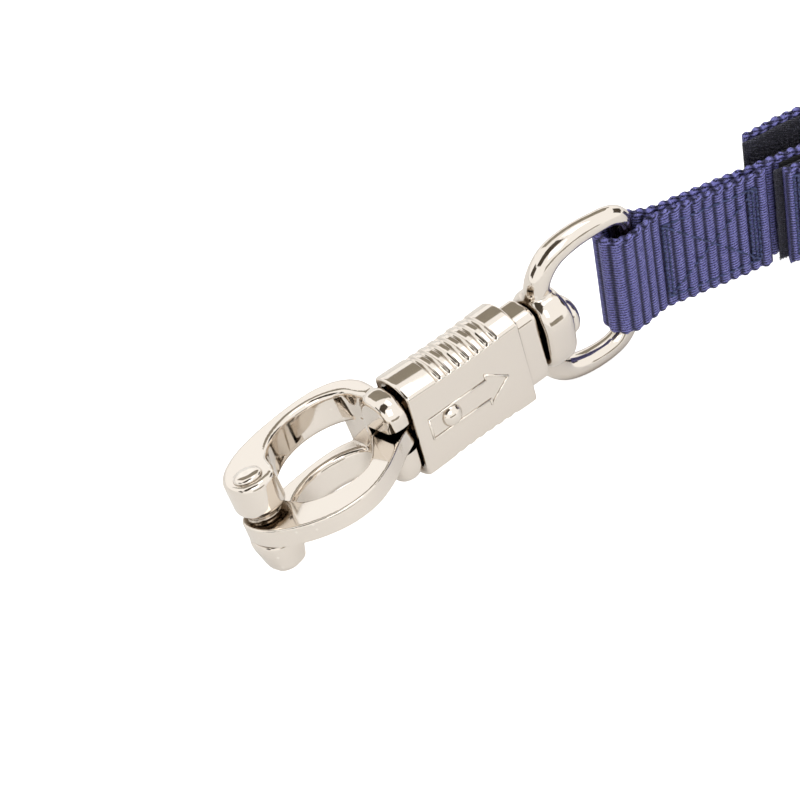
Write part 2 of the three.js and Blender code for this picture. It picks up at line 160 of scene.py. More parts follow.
class MeshMaker:
    """Collects points and faces, in millimetres of one local frame."""

    def __init__(self, place: Place) -> None:
        """Start an empty mesh.

        Args:
            place: The frame that the points are in.
        """
        self.place = place
        self.points: list[Point] = []
        self.faces: list[tuple[int, ...]] = []
        self.weave: list[Pair] = []

    def ring_loft(self, rings: Sequence[Sequence[Point]], closed: bool = False,
                  weave: Sequence[Sequence[Pair]] | None = None) -> None:
        """Skin closed rings of equal length.

        Args:
            rings: The rings, in order.
            closed: Whether the last ring joins the first.
            weave: A cloth coordinate for each point, in millimetres.
        """
        base = len(self.points)
        count = len(rings[0])
        for i, ring in enumerate(rings):
            self.points.extend(ring)
            self.weave.extend(weave[i] if weave else [(0.0, 0.0)] * count)
        spans = len(rings) if closed else len(rings) - 1
        for i in range(spans):
            a = base + i * count
            b = base + ((i + 1) % len(rings)) * count
            for j in range(count):
                k = (j + 1) % count
                self.faces.append((a + j, a + k, b + k, b + j))
        if not closed:
            self.faces.append(tuple(range(base + count - 1, base - 1, -1)))
            last = base + (len(rings) - 1) * count
            self.faces.append(tuple(range(last, last + count)))

    def tube(self, path: Sequence[Vector], radius: float, sides: int,
             radii: Sequence[float] | None = None) -> None:
        """Sweep a round section along a path.

        Args:
            path: The points of its middle line.
            radius: The section's radius.
            sides: Points round the section.
            radii: A factor on the radius at each point.
        """
        rings = []
        lead = (path[1] - path[0]).normalized()
        across = lead.orthogonal().normalized()
        for i, here in enumerate(path):
            ahead = path[min(i + 1, len(path) - 1)] - path[max(i - 1, 0)]
            ahead.normalize()
            across = (across - ahead * across.dot(ahead)).normalized()
            over = ahead.cross(across)
            r = radius * (radii[i] if radii else 1.0)
            ring = []
            for j in range(sides):
                a = 2 * math.pi * j / sides
                p = here + across * (r * math.cos(a)) + over * (r * math.sin(a))
                ring.append((p.x, p.y, p.z))
            rings.append(ring)
        self.ring_loft(rings)

    def turned(self, profile: Sequence[Pair], axis: str, centre: Point = (0, 0, 0), sides: int = 48) -> None:
        """Turn a profile about an axis.

        Args:
            profile: Pairs of radius and height, from axis to axis.
            axis: "x", "y" or "z".
            centre: A point on the axis.
            sides: Points round it.
        """
        rings = []
        for r, h in profile:
            ring = []
            for j in range(sides):
                a = 2 * math.pi * j / sides
                u, v = max(r, 0.002) * math.cos(a), max(r, 0.002) * math.sin(a)
                p = {"x": (h, u, v), "y": (v, h, u), "z": (u, v, h)}[axis]
                ring.append((p[0] + centre[0], p[1] + centre[1], p[2] + centre[2]))
            rings.append(ring)
        self.ring_loft(rings)

    def plate(self, outline: Sequence[Pair], z0: float, z1: float, bevel: float, steps: int = 4) -> None:
        """Give an outline a height along Z, with rounded rims.

        Args:
            outline: Its points, either way round.
            z0: The lower face's height.
            z1: The upper face's height.
            bevel: The rim's radius.
            steps: Rings in each rim.
        """
        area = sum(a[0] * b[1] - b[0] * a[1] for a, b in zip(outline, [*outline[1:], outline[0]]))
        outline = list(outline) if area > 0 else list(reversed(outline))
        count = len(outline)
        inward = []
        for i in range(count):
            ax, ay = outline[i - 1]
            bx, by = outline[(i + 1) % count]
            length = math.hypot(bx - ax, by - ay) or 1.0
            inward.append((-(by - ay) / length, (bx - ax) / length))
        rings = []
        for top in (False, True):
            for i in range(steps + 1):
                a = math.pi / 2 * (i / steps)
                if top:
                    inset, z = bevel * (1 - math.cos(a)), z1 - bevel + bevel * math.sin(a)
                else:
                    inset, z = bevel * (1 - math.sin(a)), z0 + bevel - bevel * math.cos(a)
                rings.append([(p[0] + n[0] * inset, p[1] + n[1] * inset, z) for p, n in zip(outline, inward)])
        self.ring_loft(rings)

    def make(self, name: str) -> bpy.types.Object:
        """Turn what was collected into an object.

        Args:
            name: The object's name.

        Returns:
            The object, with its cloth coordinates in a UV layer.
        """
        mesh = bpy.data.meshes.new(name)
        mesh.from_pydata([self.place.at(*p) for p in self.points], [], self.faces)
        layer = mesh.uv_layers.new(name="weave")
        for loop in mesh.loops:
            u, v = self.weave[loop.vertex_index]
            layer.data[loop.index].uv = (u, v)
        tidy = bmesh.new()
        tidy.from_mesh(mesh)
        bmesh.ops.recalc_face_normals(tidy, faces=tidy.faces)
        tidy.to_mesh(mesh)
        tidy.free()
        mesh.shade_smooth()
        obj = bpy.data.objects.new(name, mesh)
        bpy.context.scene.collection.objects.link(obj)
        return obj


def apply_modifiers(obj: bpy.types.Object) -> None:
    """Bake an object's modifiers into its mesh.

    Args:
        obj: The object.
    """
    bpy.context.view_layer.update()
    graph = bpy.context.evaluated_depsgraph_get()
    made = bpy.data.meshes.new_from_object(obj.evaluated_get(graph))
    obj.modifiers.clear()
    old = obj.data
    obj.data = made
    bpy.data.meshes.remove(old)


def cast(name: str, parts: Sequence[bpy.types.Object], voxel: float, rounds: int) -> bpy.types.Object:
    """Melt closed parts into one smooth casting.

    Args:
        name: The new object's name.
        parts: The closed parts, which may overlap.
        voxel: The mesh's cell in millimetres.
        rounds: How often the surface is smoothed.

    Returns:
        The casting.
    """
    body = bmesh.new()
    for part in parts:
        placed = part.data.copy()
        placed.transform(part.matrix_world)
        body.from_mesh(placed)
        bpy.data.meshes.remove(placed)
    bmesh.ops.remove_doubles(body, verts=body.verts, dist=1e-6)
    mesh = bpy.data.meshes.new(name)
    body.to_mesh(mesh)
    body.free()
    obj = bpy.data.objects.new(name, mesh)
    bpy.context.scene.collection.objects.link(obj)
    remesh = obj.modifiers.new("melt", "REMESH")
    remesh.mode = "VOXEL"
    remesh.voxel_size = voxel * MM
    remesh.use_smooth_shade = True
    soften = obj.modifiers.new("soften", "SMOOTH")
    soften.factor = 0.5
    soften.iterations = rounds
    apply_modifiers(obj)
    obj.data.shade_smooth()
    for part in parts:
        bpy.data.objects.remove(part)
    return obj


def carve(obj: bpy.types.Object, tool: bpy.types.Object) -> None:
    """Cut one closed part out of another.

    Args:
        obj: The part that is cut.
        tool: The cutter, which is removed.
    """
    cutter = obj.modifiers.new("carve", "BOOLEAN")
    cutter.operation = "DIFFERENCE"
    cutter.object = tool
    apply_modifiers(obj)
    bpy.data.objects.remove(tool)


def smooth_loop(points: Sequence[Pair], per_span: int) -> list[Pair]:
    """A closed smooth curve through points.

    Args:
        points: The points.
        per_span: How many points stand for each span.

    Returns:
        The curve's points.
    """
    out: list[Pair] = []
    count = len(points)
    for i in range(count):
        p0, p1, p2, p3 = (points[(i + k - 1) % count] for k in range(4))
        for step in range(per_span):
            out.append(spline(p0, p1, p2, p3, step / per_span))
    return out


def smooth_line(points: Sequence[Point], per_span: int) -> list[Vector]:
    """An open smooth curve through points.

    Args:
        points: The points.
        per_span: How many points stand for each span.

    Returns:
        The curve's points.
    """
    out: list[Vector] = []
    ends = [reflected(points[0], points[1]), *points, reflected(points[-1], points[-2])]
    for i in range(len(points) - 1):
        p0, p1, p2, p3 = ends[i:i + 4]
        for step in range(per_span):
            out.append(Vector(spline(p0, p1, p2, p3, step / per_span)))
    out.append(Vector(points[-1]))
    return out


def reflected(end: Sequence[float], inner: Sequence[float]) -> list[float]:
    """The inner point mirrored through the end point."""
    return [2 * a - b for a, b in zip(end, inner)]


def spline(p0: Sequence[float], p1: Sequence[float], p2: Sequence[float], p3: Sequence[float],
           t: float) -> tuple[float, ...]:
    """One point of a Catmull-Rom span.

    Args:
        p0: The point before the span.
        p1: The span's start.
        p2: The span's end.
        p3: The point after the span.
        t: How far along the span, from 0 to 1.

    Returns:
        The point.
    """
    def mix(a: Sequence[float], b: Sequence[float], ka: float, kb: float) -> list[float]:
        """Blend two points whose knots are ka and kb."""
        share = (here - ka) / (kb - ka)
        return [u + (v - u) * share for u, v in zip(a, b)]

    knots = [0.0]
    for a, b in ((p0, p1), (p1, p2), (p2, p3)):
        knots.append(knots[-1] + max(math.dist(a, b), 1e-4) ** 0.5)
    here = knots[1] + (knots[2] - knots[1]) * t
    a1, a2, a3 = mix(p0, p1, *knots[:2]), mix(p1, p2, *knots[1:3]), mix(p2, p3, *knots[2:4])
    b1, b2 = mix(a1, a2, knots[0], knots[2]), mix(a2, a3, knots[1], knots[3])
    return tuple(mix(b1, b2, knots[1], knots[2]))


def finish_piece(obj: bpy.types.Object, body: str, slot: Slot, finish: "Finish", *nodes: str) -> None:
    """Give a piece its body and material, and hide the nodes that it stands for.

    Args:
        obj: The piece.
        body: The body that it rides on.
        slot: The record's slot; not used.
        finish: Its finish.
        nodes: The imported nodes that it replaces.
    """
    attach(obj, body)
    if nodes:
        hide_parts(*nodes)
    obj.data.materials.clear()
    obj.data.materials.append(finish.material())
    LOG.info("%s: %d faces on %s", obj.name, len(obj.data.polygons), body)


def dress_node(node: str, finish: "Finish") -> None:
    """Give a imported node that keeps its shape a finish.

    Args:
        node: The node's name.
        finish: Its finish.
    """
    obj = frame["nodes"][node]
    for place in obj.material_slots:
        place.material = finish.material()
    LOG.info("%s: packed node dressed", node)


# ---------------------------------------------------------------------------------------------------------
# Finishes
# ---------------------------------------------------------------------------------------------------------


class Nodes:
    """Small helper for wiring a node tree."""

    def __init__(self, tree: bpy.types.NodeTree) -> None:
        """Wrap a tree.

        Args:
            tree: The tree.
        """
        self.tree = tree

    def add(self, kind: str, **settings: object) -> bpy.types.Node:
        """Add a node; settings named like inputs fill those inputs.

        Args:
            kind: The node's type.
            settings: Node properties, or input values with spaces written as underscores.

        Returns:
            The node.
        """
        node = self.tree.nodes.new(kind)
        for key, value in settings.items():
            if hasattr(node, key):
                setattr(node, key, value)
        for key, value in settings.items():
            name = key.replace("_", " ")
            if not hasattr(node, key) and name in node.inputs:
                node.inputs[name].default_value = value
        return node

    def link(self, out: bpy.types.NodeSocket, into: bpy.types.NodeSocket) -> None:
        """Join two sockets."""
        self.tree.links.new(out, into)

    def math(self, operation: str, a: object, b: object = 0.0) -> bpy.types.NodeSocket:
        """A math node on sockets or numbers.

        Args:
            operation: Its operation.
            a: First value.
            b: Second value.

        Returns:
            Its result.
        """
        node = self.tree.nodes.new("ShaderNodeMath")
        node.operation = operation
        for socket, value in zip(node.inputs, (a, b)):
            if isinstance(value, bpy.types.NodeSocket):
                self.link(value, socket)
            else:
                socket.default_value = value
        return node.outputs[0]

    def ramp(self, value: bpy.types.NodeSocket, low: float, high: float, to_low: float = 0.0,
             to_high: float = 1.0) -> bpy.types.NodeSocket:
        """Map a value from one range to another, held at the ends.

        Args:
            value: The value.
            low: The range's start.
            high: The range's end.
            to_low: What its start becomes.
            to_high: What its end becomes.

        Returns:
            The mapped value.
        """
        node = self.tree.nodes.new("ShaderNodeMapRange")
        node.interpolation_type = "SMOOTHSTEP"
        self.link(value, node.inputs["Value"])
        for name, number in zip(("From Min", "From Max", "To Min", "To Max"), (low, high, to_low, to_high)):
            node.inputs[name].default_value = number
        return node.outputs["Result"]

    def mix(self, factor: bpy.types.NodeSocket, a: object, b: object) -> bpy.types.NodeSocket:
        """Mix two colours.

        Args:
            factor: How much of the second.
            a: First colour, or a socket.
            b: Second colour, or a socket.

        Returns:
            The mixed colour.
        """
        node = self.tree.nodes.new("ShaderNodeMix")
        node.data_type = "RGBA"
        self.link(factor, node.inputs["Factor"])
        colours = [s for s in node.inputs if s.type == "RGBA"]
        for socket, value in zip(colours, (a, b)):
            if isinstance(value, bpy.types.NodeSocket):
                self.link(value, socket)
            else:
                socket.default_value = (*value, 1.0)
        return next(s for s in node.outputs if s.type == "RGBA")


def shared_group(name: str, inputs: Sequence[tuple[str, float]], outputs: Sequence[tuple[str, str]],
                 wire: Callable[[Nodes, bpy.types.Node, bpy.types.Node], None]) -> bpy.types.NodeTree:
    """Find a shared node group, or make it the first time.

    Args:
        name: The group's name.
        inputs: Number inputs with their defaults.
        outputs: Outputs with their socket types.
        wire: Fills the group from its input and output nodes.

    Returns:
        The group.
    """
    tree = bpy.data.node_groups.get(name)
    if tree:
        return tree
    tree = bpy.data.node_groups.new(name, "ShaderNodeTree")
    for label, value in inputs:
        socket = tree.interface.new_socket(label, in_out="INPUT", socket_type="NodeSocketFloat")
        socket.default_value = value
    for label, kind in outputs:
        tree.interface.new_socket(label, in_out="OUTPUT", socket_type=kind)
    nodes = Nodes(tree)
    wire(nodes, nodes.add("NodeGroupInput"), nodes.add("NodeGroupOutput"))
    return tree


def polish_group() -> bpy.types.NodeTree:
    """Handling marks on plated metal: faint cloudiness, fine scratches and rubbed edges, and a mask of nooks from
    ambient occlusion where shade is painted.

    Returns:
        The group, with outputs Haze, Rub, Height and NookShade.
    """
    def wire(n: Nodes, source: bpy.types.Node, out: bpy.types.Node) -> None:
        """Fill the group."""
        place = n.add("ShaderNodeTexCoord")
        cloud = n.add("ShaderNodeTexNoise", Scale=90.0, Detail=4.0, Roughness=0.6)
        n.link(place.outputs["Object"], cloud.inputs["Vector"])
        stretch = n.add("ShaderNodeMapping")
        stretch.inputs["Scale"].default_value = (300.0, 2600.0, 2600.0)
        n.link(place.outputs["Object"], stretch.inputs["Vector"])
        lines = n.add("ShaderNodeTexNoise", Scale=1.0, Detail=2.0)
        n.link(stretch.outputs["Vector"], lines.inputs["Vector"])
        dents = n.add("ShaderNodeTexNoise", Scale=420.0, Detail=1.0)
        n.link(place.outputs["Object"], dents.inputs["Vector"])
        shape = n.add("ShaderNodeNewGeometry")
        rub = n.ramp(shape.outputs["Pointiness"], 0.52, 0.60)
        rub = n.math("MULTIPLY", rub, n.ramp(cloud.outputs["Fac"], 0.35, 0.65))
        haze = n.ramp(cloud.outputs["Fac"], 0.3, 0.75)
        # Ambient occlusion marks the nooks where shade is painted into the colour.
        nook = n.add("ShaderNodeAmbientOcclusion", samples=8)
        nook.inputs["Distance"].default_value = 7 * MM
        n.link(n.ramp(nook.outputs["AO"], 0.8, 0.3), out.inputs["NookShade"])
        n.link(haze, out.inputs["Haze"])
        n.link(n.math("MULTIPLY", rub, source.outputs["Rub"]), out.inputs["Rub"])
        swell = n.math("ADD", n.math("MULTIPLY", dents.outputs["Fac"], 0.6), n.math("MULTIPLY",
                       n.ramp(lines.outputs["Fac"], 0.62, 0.7), 0.12))
        n.link(swell, out.inputs["Height"])

    return shared_group("polish marks and nook shade", [("Rub", 1.0)],
                        [("Haze", "NodeSocketFloat"), ("Rub", "NodeSocketFloat"), ("Height", "NodeSocketFloat"),
                         ("NookShade", "NodeSocketFloat")], wire)


def weave_group() -> bpy.types.NodeTree:
    """Yarns of a woven strap: fine warp yarns that rise over each rib, a little fuzz, and a mask of the grooves
    between ribs where shade is painted.

    Returns:
        The group, with outputs Yarn, GrooveShade, Fuzz and Height.
    """
    def wire(n: Nodes, source: bpy.types.Node, out: bpy.types.Node) -> None:
        """Fill the group."""
        weave = n.add("ShaderNodeUVMap", uv_map="weave")
        split = n.add("ShaderNodeSeparateXYZ")
        n.link(weave.outputs["UV"], split.inputs["Vector"])
        place = n.add("ShaderNodeTexCoord")
        wander = n.add("ShaderNodeTexNoise", Scale=900.0, Detail=2.0)
        n.link(place.outputs["Object"], wander.inputs["Vector"])
        drift = n.math("MULTIPLY", n.math("SUBTRACT", wander.outputs["Fac"], 0.5), 0.35)
        rib = n.math("DIVIDE", split.outputs["X"], source.outputs["Rib"])
        odd = n.math("MULTIPLY", n.math("MODULO", n.math("FLOOR", rib), 2.0), 0.5)
        along = n.math("ADD", n.math("DIVIDE", split.outputs["Y"], source.outputs["Yarn"]), odd)
        along = n.math("ADD", along, drift)
        slope = n.math("ADD", along, n.math("MULTIPLY", n.math("FRACT", rib), 0.6))
        yarn = n.math("ABSOLUTE", n.math("SINE", n.math("MULTIPLY", slope, math.pi)))
        crest = n.math("ABSOLUTE", n.math("SINE", n.math("MULTIPLY", rib, math.pi)))
        hairs = n.add("ShaderNodeTexNoise", Scale=4200.0, Detail=3.0, Roughness=0.7)
        n.link(place.outputs["Object"], hairs.inputs["Vector"])
        n.link(yarn, out.inputs["Yarn"])
        # GrooveShade is high in the grooves between ribs: a mask for painted shade.
        n.link(n.math("SUBTRACT", 1.0, n.ramp(crest, 0.12, 0.85)), out.inputs["GrooveShade"])
        n.link(hairs.outputs["Fac"], out.inputs["Fuzz"])
        height = n.math("ADD", n.math("MULTIPLY", n.math("POWER", yarn, 0.5), 0.8),
                        n.math("MULTIPLY", hairs.outputs["Fac"], 0.25))
        n.link(height, out.inputs["Height"])

    return shared_group("strap weave", [("Rib", 2.3), ("Yarn", 0.68)],
                        [("Yarn", "NodeSocketFloat"), ("GrooveShade", "NodeSocketFloat"), ("Fuzz", "NodeSocketFloat"),
                         ("Height", "NodeSocketFloat")], wire)


@dataclass(frozen=True)
class Finish:
    """One material of the strap.

    Attributes:
        name: The material's name.
        colour: Its base colour, linear.
        roughness: How rough it is.
    """

    name: str
    colour: tuple[float, float, float]
    roughness: float

    def material(self) -> bpy.types.Material:
        """Find the material, or make it the first time.

        Returns:
            The material.
        """
        made = bpy.data.materials.get(self.name)
        if made:
            return made
        made = bpy.data.materials.new(self.name)
        made.use_nodes = True
        made.node_tree.nodes.clear()
        nodes = Nodes(made.node_tree)
        shader = nodes.add("ShaderNodeBsdfPrincipled")
        out = nodes.add("ShaderNodeOutputMaterial")
        nodes.link(shader.outputs["BSDF"], out.inputs["Surface"])
        shader.inputs["Base Color"].default_value = (*self.colour, 1.0)
        shader.inputs["Roughness"].default_value = self.roughness
        self.dress(nodes, shader)
        return made

    def dress(self, nodes: Nodes, shader: bpy.types.Node) -> None:
        """Add the finish's own nodes.

        Args:
            nodes: The material's tree.
            shader: Its surface shader.
        """

    def bump(self, nodes: Nodes, shader: bpy.types.Node, height: bpy.types.NodeSocket, depth_mm: float,
             strength: float) -> None:
        """Feed a height into the shader's normal.

        Args:
            nodes: The material's tree.
            shader: Its surface shader.
            height: The height.
            depth_mm: What a height of one stands for.
            strength: How strongly it shows.
        """
        node = nodes.add("ShaderNodeBump", Strength=strength)
        node.inputs["Distance"].default_value = depth_mm * MM
        nodes.link(height, node.inputs["Height"])
        nodes.link(node.outputs["Normal"], shader.inputs["Normal"])


@dataclass(frozen=True)
class PlatedMetal(Finish):
    """Polished plating, with painted shade in its nooks.

    Attributes:
        worn: The colour where it is rubbed.
        nook_shade: The painted shade colour in nooks, where ambient occlusion is high.
        dents: How far the polish wanders, in millimetres.
    """

    worn: tuple[float, float, float] = (0.86, 0.81, 0.74)
    nook_shade: tuple[float, float, float] = (0.24, 0.185, 0.13)
    dents: float = 0.02

    def dress(self, nodes: Nodes, shader: bpy.types.Node) -> None:
        """Add cloudiness, rubbed edges, painted shade in nooks and a slightly wandering polish."""
        shader.inputs["Metallic"].default_value = 1.0
        marks = nodes.add("ShaderNodeGroup", node_tree=polish_group())
        # Painted shade: nooks found by ambient occlusion are mixed towards a dark brown.
        colour = nodes.mix(marks.outputs["NookShade"], self.colour, self.nook_shade)
        colour = nodes.mix(marks.outputs["Rub"], colour, self.worn)
        nodes.link(colour, shader.inputs["Base Color"])
        rough = nodes.ramp(marks.outputs["Haze"], 0.0, 1.0, self.roughness * 0.7, self.roughness * 1.5)
        nodes.link(rough, shader.inputs["Roughness"])
        self.bump(nodes, shader, marks.outputs["Height"], self.dents, 0.35)


@dataclass(frozen=True)
class Webbing(Finish):
    """Ribbed nylon webbing.

    Attributes:
        groove_shade: The painted shade colour between the ribs and between the yarns.
        sheen: The painted highlight colour on top of the yarns.
    """

    groove_shade: tuple[float, float, float] = (0.008, 0.0075, 0.022)
    sheen: tuple[float, float, float] = (0.36, 0.35, 0.78)

    def dress(self, nodes: Nodes, shader: bpy.types.Node) -> None:
        """Add the yarns, with painted shade between ribs and yarns and a painted sheen highlight on their tops."""
        weave = nodes.add("ShaderNodeGroup", node_tree=weave_group())
        # Painted shade: the gaps between yarns take the dark groove colour.
        yarns = nodes.mix(nodes.ramp(weave.outputs["Yarn"], 0.3, 0.95), self.groove_shade, self.colour)
        # Painted highlight: fuzz noise lifts the yarns towards the sheen colour.
        tops = nodes.mix(nodes.math("MULTIPLY", nodes.ramp(weave.outputs["Fuzz"], 0.45, 0.64), 0.7), yarns,
                         self.sheen)
        # Painted shade: the grooves between the ribs are darkened further.
        deep = nodes.mix(nodes.math("MULTIPLY", weave.outputs["GrooveShade"], 0.85), tops, self.groove_shade)
        nodes.link(deep, shader.inputs["Base Color"])
        rough = nodes.ramp(weave.outputs["Fuzz"], 0.3, 0.7, self.roughness, self.roughness * 0.75)
        nodes.link(rough, shader.inputs["Roughness"])
        shader.inputs["Specular IOR Level"].default_value = 0.22
        self.bump(nodes, shader, weave.outputs["Height"], 0.42, 1.0)


@dataclass(frozen=True)
class Tape(Finish):
    """Black nylon hook or loop tape.

    Attributes:
        glint: The painted glint colour of the strands that catch light.
    """

    glint: tuple[float, float, float] = (0.055, 0.055, 0.06)

    def dress(self, nodes: Nodes, shader: bpy.types.Node) -> None:
        """Add a fine ground weave with painted glints on the strands that catch light."""
        weave = nodes.add("ShaderNodeGroup", node_tree=weave_group())
        weave.inputs["Rib"].default_value = 0.5
        weave.inputs["Yarn"].default_value = 0.5
        # Painted glints: noise on the raised yarns picks strands that take the glint colour.
        light = nodes.math("MULTIPLY", nodes.ramp(weave.outputs["Fuzz"], 0.5, 0.68), weave.outputs["Yarn"])
        nodes.link(nodes.mix(light, self.colour, self.glint), shader.inputs["Base Color"])
        self.bump(nodes, shader, weave.outputs["Height"], 0.2, 1.0)


@dataclass(frozen=True)
class Thread(Finish):
    """Twisted sewing thread."""

    def dress(self, nodes: Nodes, shader: bpy.types.Node) -> None:
        """Add the thread's twist, with painted shade in its grooves."""
        place = nodes.add("ShaderNodeTexCoord")
        twist = nodes.add("ShaderNodeTexWave", Scale=520.0, Distortion=1.5, bands_direction="DIAGONAL")
        nodes.link(place.outputs["Object"], twist.inputs["Vector"])
        # Painted shade: the low bands of the twist are darkened.
        dark = tuple(c * 0.35 for c in self.colour)
        nodes.link(nodes.mix(twist.outputs["Fac"], dark, self.colour), shader.inputs["Base Color"])
        self.bump(nodes, shader, twist.outputs["Fac"], 0.05, 0.5)


NICKEL = PlatedMetal("nickel plate", (0.76, 0.70, 0.63), 0.075)
STEEL = PlatedMetal("spring wire", (0.42, 0.41, 0.40), 0.24, worn=(0.6, 0.58, 0.55))
NAVY = Webbing("navy webbing", (0.145, 0.145, 0.42), 0.6)
LOOP_PILE = Tape("loop tape", (0.008, 0.008, 0.009), 0.85)
HOOK_PILE = Tape("hook tape", (0.014, 0.014, 0.022), 0.42, glint=(0.30, 0.30, 0.38))
HOOK_STRANDS = Tape("hook strands", (0.045, 0.045, 0.065), 0.3, glint=(0.5, 0.5, 0.6))
SEWING = Thread("sewing thread", (0.05, 0.068, 0.19), 0.55)


# ---------------------------------------------------------------------------------------------------------
# Panic snap
# ---------------------------------------------------------------------------------------------------------


def rounded_section(width: float, height: float, radius: float, corner: int = 8, flat: int = 12) -> list[Pair]:
    """A rounded rectangle's outline.

    Args:
        width: Its size along the first coordinate.
        height: Its size along the second.
        radius: The corners' radius.
        corner: Points in each corner.
        flat: Points on each flat.

    Returns:
        The outline, anticlockwise.
    """
    w, h = width / 2 - radius, height / 2 - radius
    corners = [(w, h, 0), (-w, h, 90), (-w, -h, 180), (w, -h, 270)]
    points: list[Pair] = []
    for index, (cy, cz, start) in enumerate(corners):
        arc = [(cy + radius * math.cos(math.radians(start + 90 * i / corner)),
                cz + radius * math.sin(math.radians(start + 90 * i / corner))) for i in range(corner + 1)]
        points.extend(arc)
        ny, nz, turn = corners[(index + 1) % 4]
        a = math.radians(turn)
        nxt = (ny + radius * math.cos(a), nz + radius * math.sin(a))
        for i in range(1, flat):
            t = i / flat
            points.append((arc[-1][0] + (nxt[0] - arc[-1][0]) * t, arc[-1][1] + (nxt[1] - arc[-1][1]) * t))
    return points


def ease(value: float, low: float, high: float) -> float:
    """Smooth step between two values."""
    t = min(max((value - low) / (high - low), 0.0), 1.0)
    return t * t * (3 - 2 * t)


